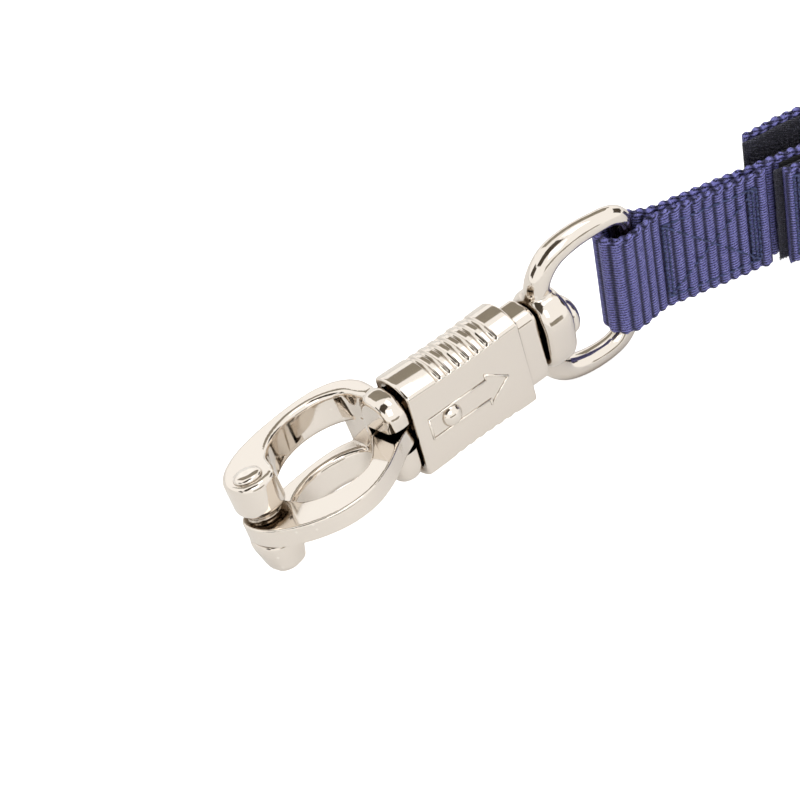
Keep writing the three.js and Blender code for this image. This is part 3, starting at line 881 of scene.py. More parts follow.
@dataclass
class PanicSnap:
    """The snap: fixed hook, moving jaw, sliding sleeve and their pins. Millimetres.

    Attributes:
        ear_radius: Nose ear's radius.
        peg_tip: Radius at the lower ear's tip.
        top: Height of the upper rail's face above the snap's middle.
        bottom: Height of the lower ear's tip.
        root_radius: Corner radius of the root's collar.
        sleeve_front: Where the sleeve's mouth lies.
        sleeve_end: Where the sleeve ends.
        sleeve_width: Across its flat faces.
        sleeve_flat: Height of its flat faces.
        sleeve_height: Across its grooved faces.
        twist: How far the sleeve and the stem are turned from the hook, in degrees.
        waist: How far the grooved faces draw in.
        groove_start: The first groove's place.
        groove_pitch: From groove to groove.
        groove_count: Grooves on each side.
        groove_depth: How deep they are.
        pin_x: The cross pin's place.
        collar: The root collar's width and height.
        stem: The stem's width, height and corner radius.
        way: Half the height of the slot that each rail stands off from.
        rim: The rails' rounded rim.
        spring_bore: Radius of the spring's bore.
        blade: Half the jaw's thickness.
        rivet_hole: Radius of the jaw's hole.
        arrow_wire: Radius of the raised arrow's line.
    """

    ear_radius: float = 4.3
    peg_tip: float = 3.3
    top: float = 10.0
    bottom: float = -9.4
    root_radius: float = 4.4
    sleeve_front: float = 31.9
    sleeve_end: float = 58.8
    sleeve_width: float = 10.4
    sleeve_flat: float = 18.8
    sleeve_height: float = 22.0
    twist: float = 14.3
    waist: float = 0.35
    groove_start: float = 39.4
    groove_pitch: float = 2.3
    groove_count: int = 7
    groove_depth: float = 0.62
    pin_x: float = 40.0
    collar: Pair = (10.6, 20.2)
    stem: Point = (8, 17, 2.4)
    way: float = 3.0
    rim: float = 0.95
    spring_bore: float = 2.9
    blade: float = 1.9
    rivet_hole: float = 1.66
    arrow_wire: float = 0.27

    ARCH = ((0, -4.4), (-3.0, -3.1), (-4.1, 0), (-3.7, 3.8), (-1.3, 7.6), (3, 10.9), (8, 13), (14, 14.3),
            (20, 14.9), (25, 14.4), (29, 12), (31.0, 8), (31.1, 3.5), (30.4, 0.8), (28.4, 0.6), (27.5, 2.6),
            (26.4, 7.4), (22.6, 10.4), (18, 11.1), (13.6, 10), (9.4, 7.3), (6.4, 3.6), (4.9, -1),
            (3.4, -3.4))
    JAW = ((-4.2, 1.8), (-4.6, -1.5), (-3.4, -6.6), (0.8, -11.9), (5.6, -15), (10, -16.1), (15, -15.5),
           (20, -13), (24.2, -9.8), (28, -6.6), (30.8, -4.7), (32.2, -3.2), (32.2, -0.2), (29.4, 1.2),
           (26.6, 1.2), (24.8, -0.8), (22.3, -4.6), (18.6, -8), (15, -9), (11.4, -8.6), (8.2, -7.2),
           (6, -4.8), (4.9, -1.4), (3.6, 2.8), (0, 4.6), (-2.8, 3.7))

    def build(self) -> None:
        """Make every piece of the snap."""
        self.place = Place.snap()
        self.turned = Place(self.place.matrix @ Matrix.Rotation(math.radians(self.twist), 4, "X"))
        self.hook()
        self.jaw()
        self.sleeve()
        self.arrows()
        self.pins()
        self.spring()

    def hook(self) -> None:
        """Cast hook: two rails, a rounded root collar, a tapered lower ear and the stem."""
        parts = []
        maker = MeshMaker(self.turned)
        section = rounded_section(*self.collar, self.root_radius)
        maker.ring_loft([[(x, y * k, z * (k * 0.5 + 0.5)) for y, z in section] for x, k in (
            (26.7, 0.72), (27.0, 0.84), (27.6, 0.93), (28.4, 0.98), (29.3, 1.0), (30.3, 0.98), (31.0, 0.93),
            (31.4, 0.84), (31.5, 0.78))])
        parts.append(maker.make("collar"))
        for low, high in ((self.bottom, -self.way), (self.way, self.top)):
            maker = MeshMaker(self.place)
            maker.plate(smooth_loop(self.ARCH, 10), low, high, self.rim)
            parts.append(maker.make(f"rail_{high}"))
        maker = MeshMaker(self.place)
        maker.plate([(26.9, 2.6), (31.2, 2.6), (31.1, 8), (29.2, 11.4), (26.9, 12.6)], -4, 4, 0.1)
        parts.append(maker.make("root"))
        maker = MeshMaker(self.turned)
        section = rounded_section(*self.stem)
        maker.ring_loft([[(x, y * k, z * k) for y, z in section]
                         for x, k in ((29.0, 0.97), (30, 1.0), (40, 1.0), (63.1, 1.0), (63.7, 0.95))])
        parts.append(maker.make("stem"))
        hook = cast("hook_casting", parts, 0.24, 4)
        bore = MeshMaker(self.place)
        bore.turned([(0, 37.5), (self.spring_bore, 37.5), (self.spring_bore, 57), (0, 57)], "x", sides=40)
        carve(hook, bore.make("spring_bore"))
        tail = MeshMaker(self.place)
        tail.plate([(26.2, -6.5), (33.4, -6.5), (33.4, 2.3), (26.2, 2.3)], -3, 3, 0.05)
        carve(hook, tail.make("tail_pocket"))
        way = MeshMaker(self.turned)
        way.plate([(38.4, -1.6), (46.6, -1.6), (46.6, 1.6), (38.4, 1.6)], -8, 8, 0.05)
        slot = way.make("pin_way")
        quarter = Matrix.Rotation(math.pi / 2, 4, "X")
        slot.data.transform(self.turned.matrix @ quarter @ self.turned.matrix.inverted())
        carve(hook, slot)
        hook.data.shade_smooth()
        hook.data.set_sharp_from_angle(angle=math.radians(50))
        self.taper_ear(hook)
        finish_piece(hook, "hook", Slot.NICKEL, NICKEL, "hook_body")

    def taper_ear(self, obj: bpy.types.Object) -> None:
        """Draw the lower ear in towards its tip, like a peg.

        Args:
            obj: The hook.
        """
        back = self.place.matrix.inverted()
        for vertex in obj.data.vertices:
            p = back @ vertex.co / MM
            drop = ease(-p.z, 4.0, -self.bottom)
            held = 1 - ease(p.x * 0.45 + p.y * 0.89, 0.5, 7.0)
            if drop <= 0 or held <= 0 or p.x > 12:
                continue
            shrink = 1 - (1 - self.peg_tip / self.ear_radius) * drop * held
            vertex.co = self.place.at(p.x * shrink, p.y * shrink, p.z)

    def jaw(self) -> None:
        """Moving jaw, its faces flat and its rims barely broken."""
        blade = MeshMaker(self.place)
        blade.plate(smooth_loop(self.JAW, 8), -self.blade, self.blade, 0.3)
        boss = MeshMaker(self.place)
        boss.turned([(0, -2.94), (2.9, -2.94), (3.0, -2.8), (3.0, 2.8), (2.9, 2.94), (0, 2.94)], "z")
        jaw = cast("jaw_casting", [blade.make("blade"), boss.make("boss")], 0.2, 3)
        bore = MeshMaker(self.place)
        bore.turned([(0, -5), (self.rivet_hole, -5), (self.rivet_hole, 5), (0, 5)], "z")
        carve(jaw, bore.make("jaw_bore"))
        jaw.data.shade_smooth()
        jaw.data.set_sharp_from_angle(angle=math.radians(50))
        finish_piece(jaw, "jaw", Slot.NICKEL, NICKEL, "release_jaw")

    def groove(self, x: float) -> float:
        """How deep the grooves are at a place along the sleeve.

        Args:
            x: The place.

        Returns:
            A share of the full depth.
        """
        span = (x - self.groove_start) / self.groove_pitch
        if span < -0.5 or span > self.groove_count - 0.5:
            return 0.0
        off = abs(span - round(span)) * self.groove_pitch
        return math.sqrt(max(0.0, 1 - (off / 0.62) ** 2)) if off < 0.62 else 0.0

    def sleeve(self) -> None:
        """Sliding sleeve: a flattened tube, waisted and grooved on its narrow faces."""
        maker = MeshMaker(self.turned)
        outer = self.crowned()
        inner = rounded_section(8.4, 17.4, 2.5, 8, (len(outer) - 36) // 4 + 1)
        length = self.sleeve_end - self.sleeve_front
        rim = 0.55
        rings: list[list[Point]] = []
        xs = [self.sleeve_front + rim * (1 - math.cos(a * math.pi / 12)) for a in range(6)]
        steps = 172
        xs += [self.sleeve_front + rim + (length - 2 * rim) * i / steps for i in range(steps + 1)]
        xs += [self.sleeve_end - rim * (1 - math.cos(a * math.pi / 12)) for a in range(5, -1, -1)]
        for x in xs:
            edge = min(x - self.sleeve_front, self.sleeve_end - x)
            inset = rim - math.sqrt(max(0.0, rim * rim - (rim - min(edge, rim)) ** 2))
            draw = self.waist * math.sin(math.pi * (x - self.sleeve_front) / length) ** 2
            depth = self.groove(x) * self.groove_depth
            ring = []
            for y, z in outer:
                cy = ease(abs(y), self.sleeve_width / 2 - 0.7, self.sleeve_width / 2)
                cz = ease(abs(z), self.sleeve_flat / 2 - 0.7, self.sleeve_flat / 2 + 0.2)
                cut = depth * ease(abs(z), 8.8, 10.2)
                y2 = y - math.copysign((inset + cut * 0.6) * cy, y)
                z2 = z - math.copysign((inset + cut) * cz + draw * ease(abs(z), 7.0, 9.6), z)
                ring.append((x, y2, z2))
            rings.append(ring)
        back = [self.sleeve_end - 0.35, self.sleeve_end - 3, (self.sleeve_front + self.sleeve_end) / 2,
                self.sleeve_front + 3, self.sleeve_front + 0.35]
        rings.append([(self.sleeve_end, y * 1.04, z * 1.03) for y, z in inner])
        rings += [[(x, y, z) for y, z in inner] for x in back]
        rings.append([(self.sleeve_front, y * 1.04, z * 1.03) for y, z in inner])
        maker.ring_loft(rings, closed=True)
        sleeve = maker.make("sleeve_shell")
        finish_piece(sleeve, "sleeve", Slot.NICKEL, NICKEL, "release_sleeve")

    def crowned(self) -> list[Pair]:
        """The sleeve's outline: flat sides and crowned faces, with crisp corners.

        Returns:
            The outline, anticlockwise from the upper right corner.
        """
        w, flat = self.sleeve_width / 2, self.sleeve_flat / 2
        rise = (self.sleeve_height - self.sleeve_flat) / 2
        cap = [(w, flat - 0.45), (w - 0.03, flat - 0.22), (w - 0.14, flat - 0.02)]
        for i in range(27):
            y = (w - 0.32) * (1 - i / 13)
            cap.append((y, flat + rise * (1 - (y / w) ** 2)))
        cap += [(0.14 - w, flat - 0.02), (0.03 - w, flat - 0.22), (-w, flat - 0.45)]
        side = [(-w, (flat - 0.45) * (1 - i / 11)) for i in range(1, 22)]
        half = [*cap, *side]
        return [*half, *((-y, -z) for y, z in half)]

    def arrows(self) -> None:
        """Raised outline arrow on each flat face."""
        maker = MeshMaker(self.turned)
        outline = [(35.0, -2.35), (48.9, -2.35), (48.9, -3.6), (53.8, 0), (48.9, 3.6), (48.9, 2.35), (35.0, 2.35)]
        for side in (-1, 1):
            y = side * (self.sleeve_width / 2 - 0.02)
            for a, b in zip(outline, [*outline[1:], outline[0]]):
                path = [Vector((a[0] + (b[0] - a[0]) * t, y, a[1] + (b[1] - a[1]) * t)) for t in (0, 0.5, 1)]
                maker.tube(path, self.arrow_wire, 10)
            for a in outline:
                ball = [(0.0, -0.27), (0.19, -0.19), (0.27, 0.0), (0.19, 0.19), (0.0, 0.27)]
                maker.turned(ball, "y", (a[0], y, a[1]), 10)
        finish_piece(maker.make("sleeve_arrows"), "sleeve", Slot.NICKEL, NICKEL)

    def pins(self) -> None:
        """Jaw rivet, cross pin and swivel stud."""
        rivet = MeshMaker(self.place)
        low, top = self.bottom, self.top
        rivet.turned([(0, low - 0.65), (1.6, low - 0.6), (2.4, low - 0.3), (2.5, low + 0.3), (1.58, low + 0.3),
                      (1.58, top - 0.2), (2.75, top - 0.2), (2.8, top + 0.3), (2.6, top + 0.68), (2.1, top + 0.9),
                      (1.2, top + 1.0), (0, top + 1.02)], "z", sides=64)
        finish_piece(rivet.make("jaw_rivet"), "hook", Slot.NICKEL, NICKEL, "jaw_pivot_rivet")
        pin = MeshMaker(self.turned)
        face = self.sleeve_width / 2
        dome = [(0, 1.5), (0.7, 1.4), (1.3, 1.15), (1.8, 0.75), (2.15, 0.25), (2.25, -0.3), (1.22, -0.32)]
        profile = [(r, -face - h) for r, h in dome] + [(r, face + h) for r, h in reversed(dome)]
        pin.turned(profile, "y", (self.pin_x, 0, 0), 56)
        finish_piece(pin.make("cross_pin"), "sleeve", Slot.NICKEL, NICKEL, "sleeve_cross_pin")
        stud = MeshMaker(self.place)
        stud.turned([(0, 59.2), (2.38, 59.2), (2.38, 71.1), (3.9, 71.1), (4.2, 71.35), (4.28, 71.9), (4.1, 72.6),
                     (3.6, 73.2), (2.7, 73.8), (1.4, 74.2), (0, 74.28)], "x", sides=64)
        finish_piece(stud.make("stud"), "hook", Slot.NICKEL, NICKEL, "swivel_stud")

    def spring(self) -> None:
        """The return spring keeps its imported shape."""
        dress_node("release_spring", STEEL)


@dataclass
class SwivelEye:
    """D-shaped wire eye with its boss. Millimetres from the jaw pivot, along the row's axes.

    Attributes:
        wire: The wire's radius.
        bar_x: The webbing bar's place.
        lean: How much further out the bar's upper end is bent.
        root: How far the arms' roots stand to the boss's back.
        thicker: How much stouter the arms are at their roots.
        boss_front: Where the boss begins.
        boss_length: How long it is.
        boss: Its width, height and corner radius.
        boss_back: How far its middle stands to the back.
        bore: Radius of the stud's hole.
    """

    wire: float = 2.2
    bar_x: float = 86.6
    lean: float = 0.8
    root: float = 1.2
    thicker: float = 0.16
    boss_front: float = 64.3
    boss_length: float = 6.7
    boss: Point = (12.6, 17.6, 6.0)
    boss_back: float = 0.5
    bore: float = 2.48

    def build(self) -> None:
        """Cast the wire and the boss together and bore the boss."""
        place = Place.level()
        half = [(67.0, 0, 3), (67.2, 0, 7.2), (68.3, 0, 11.6), (71.2, 0, 15.1), (75.6, 0, 16.7), (80.6, 0, 16.8),
                (84, 0, 16), (86, 0, 14.3), (self.bar_x, 0, 11.6)]
        points = [(x, y, -z) for x, y, z in half] + [(self.bar_x, 0, 0)] + list(reversed(half))
        points = [(x + ease(x, 67, 87) * (1.0 + self.lean * z / 14), y + self.root * (1 - ease(x, 68, 84)), z)
                  for x, y, z in points]
        wire = MeshMaker(place)
        path = smooth_line(points, 8)
        stout = [1 + self.thicker * (1 - ease(p.x, 70, 84)) for p in path]
        wire.tube(path, self.wire, 32, stout)
        boss = MeshMaker(place)
        rings = []
        for i in range(25):
            t = i / 24
            x = self.boss_front + self.boss_length * t
            swell = math.sqrt(1 - 0.32 * (2 * t - 1) ** 4)
            rings.append([(x, y * swell + self.boss_back, z * swell) for y, z in rounded_section(*self.boss)])
        boss.ring_loft(rings)
        eye = cast("eye_casting", [wire.make("eye_wire"), boss.make("eye_boss")], 0.26, 5)
        bore = MeshMaker(place)
        bore.turned([(0, 60), (self.bore, 60), (self.bore, 72), (0, 72)], "x", sides=40)
        carve(eye, bore.make("eye_bore"))
        eye.data.shade_smooth()
        eye.data.set_sharp_from_angle(angle=math.radians(40))
        finish_piece(eye, "eye", Slot.NICKEL, NICKEL, "swivel_eye")


# ---------------------------------------------------------------------------------------------------------
# Webbing
# ---------------------------------------------------------------------------------------------------------


def ease_line(s0: float, s1: float, n0: float, n1: float, count: int) -> list[Pair]:
    """Points that ease from one height to another.

    Args:
        s0: Start along the strap.
        s1: End along it.
        n0: First height.
        n1: Last height.
        count: How many steps.

    Returns:
        The points.
    """
    return [(s0 + (s1 - s0) * i / count, n0 + (n1 - n0) * ease(i / count, 0, 1)) for i in range(count + 1)]


def walk(line: Sequence[Pair], step: float) -> list[tuple[float, float, float, float, float]]:
    """Points at equal steps along a line.

    Args:
        line: The line.
        step: The step.

    Returns:
        For each point: S, N, the left normal's two parts, and the distance walked.
    """
    lengths = [0.0]
    for a, b in zip(line, line[1:]):
        lengths.append(lengths[-1] + math.hypot(b[0] - a[0], b[1] - a[1]))
    count = max(2, round(lengths[-1] / step))
    places: list[Pair] = []
    k = 0
    for i in range(count + 1):
        d = lengths[-1] * i / count
        while k < len(line) - 2 and lengths[k + 1] < d:
            k += 1
        t = (d - lengths[k]) / ((lengths[k + 1] - lengths[k]) or 1.0)
        a, b = line[k], line[k + 1]
        places.append((a[0] + (b[0] - a[0]) * t, a[1] + (b[1] - a[1]) * t))
    out = []
    for i, (s, n) in enumerate(places):
        a, b = places[max(i - 2, 0)], places[min(i + 2, count)]
        length = math.hypot(b[0] - a[0], b[1] - a[1]) or 1.0
        out.append((s, n, -(b[1] - a[1]) / length, (b[0] - a[0]) / length, lengths[-1] * i / count))
    return out


@dataclass
class Strip:
    """A woven strip that stands on edge. Millimetres in the strap's frame.

    Attributes:
        line: Its middle line.
        thickness: Its thickness.
        width: Its width.
        rib: The ribs' pitch, or zero for a plain tape.
        swell: The ribs' height.
        shift: How far the strip lies to the left of the line.
        pinched: Places along S where stitching draws it in.
        start: Cloth distance at its first end.
    """

    line: Sequence[Pair]
    thickness: float = 1.8
    width: float = 25.0
    rib: float = 2.3
    swell: float = 0.46
    shift: float = 0.0
    pinched: Sequence[float] = ()
    start: float = 0.0

    def build(self, name: str) -> bpy.types.Object:
        """Make the strip.

        Args:
            name: Its name.

        Returns:
            The object.
        """
        maker = MeshMaker(Place.strap())
        step = self.rib / 8 if self.rib else 0.5
        rings: list[list[Point]] = []
        weave: list[list[Pair]] = []
        stops = walk(self.line, step)
        rng = random.Random(name)
        phase = rng.random() * 6
        wobble = [rng.uniform(0.8, 1.2) for _ in range(len(stops) // 8 + 2)]
        for i, (s, n, ns, nn, u) in enumerate(stops):
            end = min(i, len(stops) - 1 - i)
            squeeze = 0.8 + 0.2 * min(end / 3, 1)
            pinch = sum(math.exp(-((s - p) / 0.75) ** 2) for p in self.pinched) * 0.2
            wave = 0.06 * math.sin(u / 7.3 + phase)
            ring, cloth = [], []
            for off, v, du in self.section(u, squeeze, pinch, wobble[i // 8]):
                away = self.shift + off
                ring.append((s + ns * away, n + nn * away, v + wave))
                cloth.append((u + self.start + du, v))
            rings.append(ring)
            weave.append(cloth)
        maker.ring_loft(rings, weave=weave)
        return maker.make(name)

    def section(self, u: float, squeeze: float, pinch: float,
                full: float) -> list[tuple[float, float, float]]:
        """The strip's section at a distance along it.

        Args:
            u: The distance.
            squeeze: A factor on the thickness.
            pinch: How far stitching draws each face in.
            full: How full this rib is.

        Returns:
            For each point: the height off the middle, the place across, and a cloth offset.
        """
        half = self.thickness / 2
        if self.rib:
            phase = math.pi * (u + self.start) / self.rib
            front = half - self.swell * 0.8 + self.swell * full * abs(math.sin(phase)) ** 0.75
            back = half - self.swell * 0.8 + self.swell * full * abs(math.cos(phase)) ** 0.75
        else:
            phase, front, back = 0.0, half, half
        front, back = (front - pinch) * squeeze, (back - pinch) * squeeze
        edge = self.width / 2
        points = []
        across = 22
        for i in range(across + 1):
            v = -(edge - 0.8) + 2 * (edge - 0.8) * i / across
            points.append((front, v, 0.0))
        points.extend(self.selvage(front, back, edge, phase, 1))
        for i in range(across + 1):
            v = (edge - 0.8) - 2 * (edge - 0.8) * i / across
            points.append((-back, v, self.rib / 2))
        points.extend(self.selvage(front, back, edge, phase, -1))
        return points

    def selvage(self, front: float, back: float, edge: float, phase: float,
                side: int) -> list[tuple[float, float, float]]:
        """The rounded, corded edge between the two faces.

        Args:
            front: Height of the left face.
            back: Height of the right face.
            edge: Half the width.
            phase: Where the ribs are.
            side: 1 for the upper edge, -1 for the lower.

        Returns:
            Section points from one face to the other.
        """
        points = []
        for i in range(1, 8):
            a = math.pi * i / 8 if side > 0 else math.pi * (8 - i) / 8
            height = (front + back) / 2 * math.cos(a) + (front - back) / 2
            cord = 0.6 * abs(math.sin(phase + side * 1.1 * math.cos(a))) ** 0.8 if self.rib else 0.0
            points.append((height, side * (edge - 0.95 + (0.75 + cord) * math.sin(a)), self.rib / 4))
        return points


@dataclass
class Seam:
    """Sewn rows on a strap's face. Millimetres in the strap's frame.

    Attributes:
        face: The face's height off the strap's middle plane.
        side: Which way it faces.
        pitch: Length of a stitch.
        radius: The thread's radius.
    """

    face: float
    side: Side
    pitch: float = 1.9
    radius: float = 0.23

    def rows(self, name: str, lines: Sequence[tuple[Pair, Pair]]) -> bpy.types.Object:
        """Sew straight rows.

        Args:
            name: The object's name.
            lines: Each row's two ends, as places along and across the strap.

        Returns:
            The threads.
        """
        maker = MeshMaker(Place.strap())
        rng = random.Random(name)
        out = self.side.value
        for (s0, v0), (s1, v1) in lines:
            length = math.hypot(s1 - s0, v1 - v0)
            count = max(1, round(length / self.pitch))
            cross = (-(v1 - v0) / length, (s1 - s0) / length)
            for i in range(count):
                a, b = (i + 0.04) / count, (i + 0.96) / count
                lean = rng.uniform(-0.12, 0.12)
                path = []
                for k in range(7):
                    t = a + (b - a) * k / 6
                    rise = math.sin(math.pi * k / 6)
                    off = lean * math.cos(math.pi * k / 6)
                    path.append(Vector((s0 + (s1 - s0) * t + cross[0] * off,
                                        self.face + out * (0.27 * rise - 0.2),
                                        v0 + (v1 - v0) * t + cross[1] * off)))
                maker.tube(path, self.radius, 7, [0.75, 1, 1.05, 1.1, 1.05, 1, 0.75])
        return maker.make(name)

    def box(self, name: str, s0: float, s1: float, half: float, lead: int = 2, trail: int = 3) -> bpy.types.Object:
        """Sew a box with a cross in it.

        Args:
            name: The object's name.
            s0: The box's start along the strap.
            s1: Its end.
            half: Half its height.
            lead: Rows at its start.
            trail: Rows at its end.

        Returns:
            The threads.
        """
        lines: list[tuple[Pair, Pair]] = []
        for i in range(lead):
            s = s0 + i * 0.85
            lines.append(((s, -half - 0.5 * (i % 2)), (s, half - 0.5 * (i % 2))))
        for i in range(trail):
            s = s1 - i * 0.85
            lines.append(((s, -half + 0.5 * (i % 2)), (s, half + 0.5 * (i % 2))))
        lines += [((s0, -half), (s1, -half)), ((s0, half), (s1, half))]
        lines += [((s0, -half), (s1, half)), ((s0, half), (s1, -half))]
        return self.rows(name, lines)


@dataclass
class Pile:
    """Hooks or loops standing on a tape. Millimetres in the strap's frame.

    Attributes:
        line: The tape's middle line.
        base: Height of the ground that they stand on, off that line.
        tall: How tall they are, signed.
        width: The field's width.
        hooked: Whether they are hooks rather than loops.
        spacing: From one to the next.
        hook_wire: A hook's radius.
        loop_wire: A loop's radius.
    """

    line: Sequence[Pair]
    base: float
    tall: float
    width: float
    hooked: bool
    spacing: float
    hook_wire: float = 0.13
    loop_wire: float = 0.07

    def build(self, name: str) -> bpy.types.Object:
        """Make the field.

        Args:
            name: Its name.

        Returns:
            The object.
        """
        maker = MeshMaker(Place.strap())
        rng = random.Random(name)
        for row, (s, n, ns, nn, _u) in enumerate(walk(self.line, self.spacing)[1:-1]):
            count = int(self.width / self.spacing)
            for i in range(count):
                v = -self.width / 2 + (i + 0.5 + 0.3 * (row % 2)) * self.spacing
                self.strand(maker, (s, n, v), (ns, nn), rng)
        return maker.make(name)

    def strand(self, maker: MeshMaker, foot: Point, normal: Pair, rng: random.Random) -> None:
        """One hook or loop.

        Args:
            maker: Where it goes.
            foot: Its place on the line.
            normal: The line's left normal.
            rng: Chance.
        """
        s, n, v = foot
        turn = rng.uniform(-0.6, 0.6) if self.hooked else rng.uniform(0, math.pi)
        ds, dv = math.cos(turn), math.sin(turn)
        reach = self.spacing * (0.42 if self.hooked else 0.62)
        steps = ((0, 0), (0.1, 0.55), (0.45, 1.0), (0.95, 0.8), (1.0, 0.5)) if self.hooked else (
            (0, 0), (0.05, 0.6), (0.5, 1.0), (0.95, 0.6), (1.0, 0.0))
        path = []
        scale = rng.uniform(0.75, 1.05)
        for along, up in steps:
            h = self.base + self.tall * up * scale
            path.append(Vector((s + normal[0] * h + ds * along * reach * normal[1], n + normal[1] * h
                                - ds * along * reach * normal[0], v + dv * along * reach)))
        maker.tube(path, self.hook_wire if self.hooked else self.loop_wire, 4)


class Laid:
    """Heights of the layers off the strap's middle plane, in millimetres."""

    LAYER = 1.0
    FACE = 1.9
    FRONT_LOOP = -0.5
    FRONT_HOOK = -1.55
    FRONT_TAB = -3.05
    BACK_LOOP = 2.5
    BACK_HOOK = 3.55


def folded(bar: float, way: int, raw: float, tail: float) -> list[Pair]:
    """A strap end folded round a bar and closed on itself.

    Args:
        bar: The bar's place.
        way: 1 if the strap runs on towards larger S, -1 if towards smaller.
        raw: Where the cut end lies, on the front layer.
        tail: Where the back layer runs to.

    Returns:
        The middle line.
    """
    lay, r = Laid.LAYER, 3.4
    closed = bar + way * 8.6
    points = [(raw, -lay), *ease_line(closed, bar + way * 0.6, -lay, -r, 14)]
    for i in range(25):
        a = math.radians(-90 - 7.5 * i)
        points.append((bar + way * r * math.cos(a), r * math.sin(a)))
    return [*points, *ease_line(bar + way * 0.6, closed, r, lay, 14), (tail, lay)]


@dataclass
class ShortEnd:
    """Short strap round the eye, with loop tape on both faces of its tail.

    Attributes:
        raw_end: Where the folded layer is cut.
        tail_end: Where the tail ends.
        box_start: The sewn box's start.
        box_end: Its end.
    """

    raw_end: float = 31.6
    tail_end: float = 108.0
    box_start: float = 9.0
    box_end: float = 29.0

    def build(self) -> None:
        """Make the strap, its tapes and its sewing."""
        pinched = (self.box_start, self.box_start + 0.8, self.box_end, self.box_end - 0.9, self.box_end - 1.7)
        strap = Strip(folded(0, 1, self.raw_end, self.tail_end), pinched=pinched)
        finish_piece(strap.build("short_webbing"), "short_end", Slot.WEBBING, NAVY, "short_strap")
        for side, height, node in ((Side.FRONT, Laid.FRONT_LOOP, "loop_tape_front"),
                                   (Side.BACK, Laid.BACK_LOOP, "loop_tape_back")):
            line = [(35.0, height), (107.0, height)]
            ground = Strip(line, thickness=0.45, width=24, rib=0, shift=-side.value * 0.2)
            finish_piece(ground.build(f"{node}_ground"), "short_end", Slot.LOOP, LOOP_PILE, node)
            pile = Pile(line, 0, side.value * 0.42, 21, False, 0.85)
            finish_piece(pile.build(f"{node}_pile"), "short_end", Slot.LOOP, LOOP_PILE)
        for side, node in ((Side.FRONT, "stitch_loop_front"), (Side.BACK, "stitch_loop_back")):
            seam = Seam(side.value * Laid.FACE, side)
            finish_piece(seam.box(f"{node}_thread", self.box_start, self.box_end, 9.6), "short_end", Slot.THREAD,
                         SEWING, node)


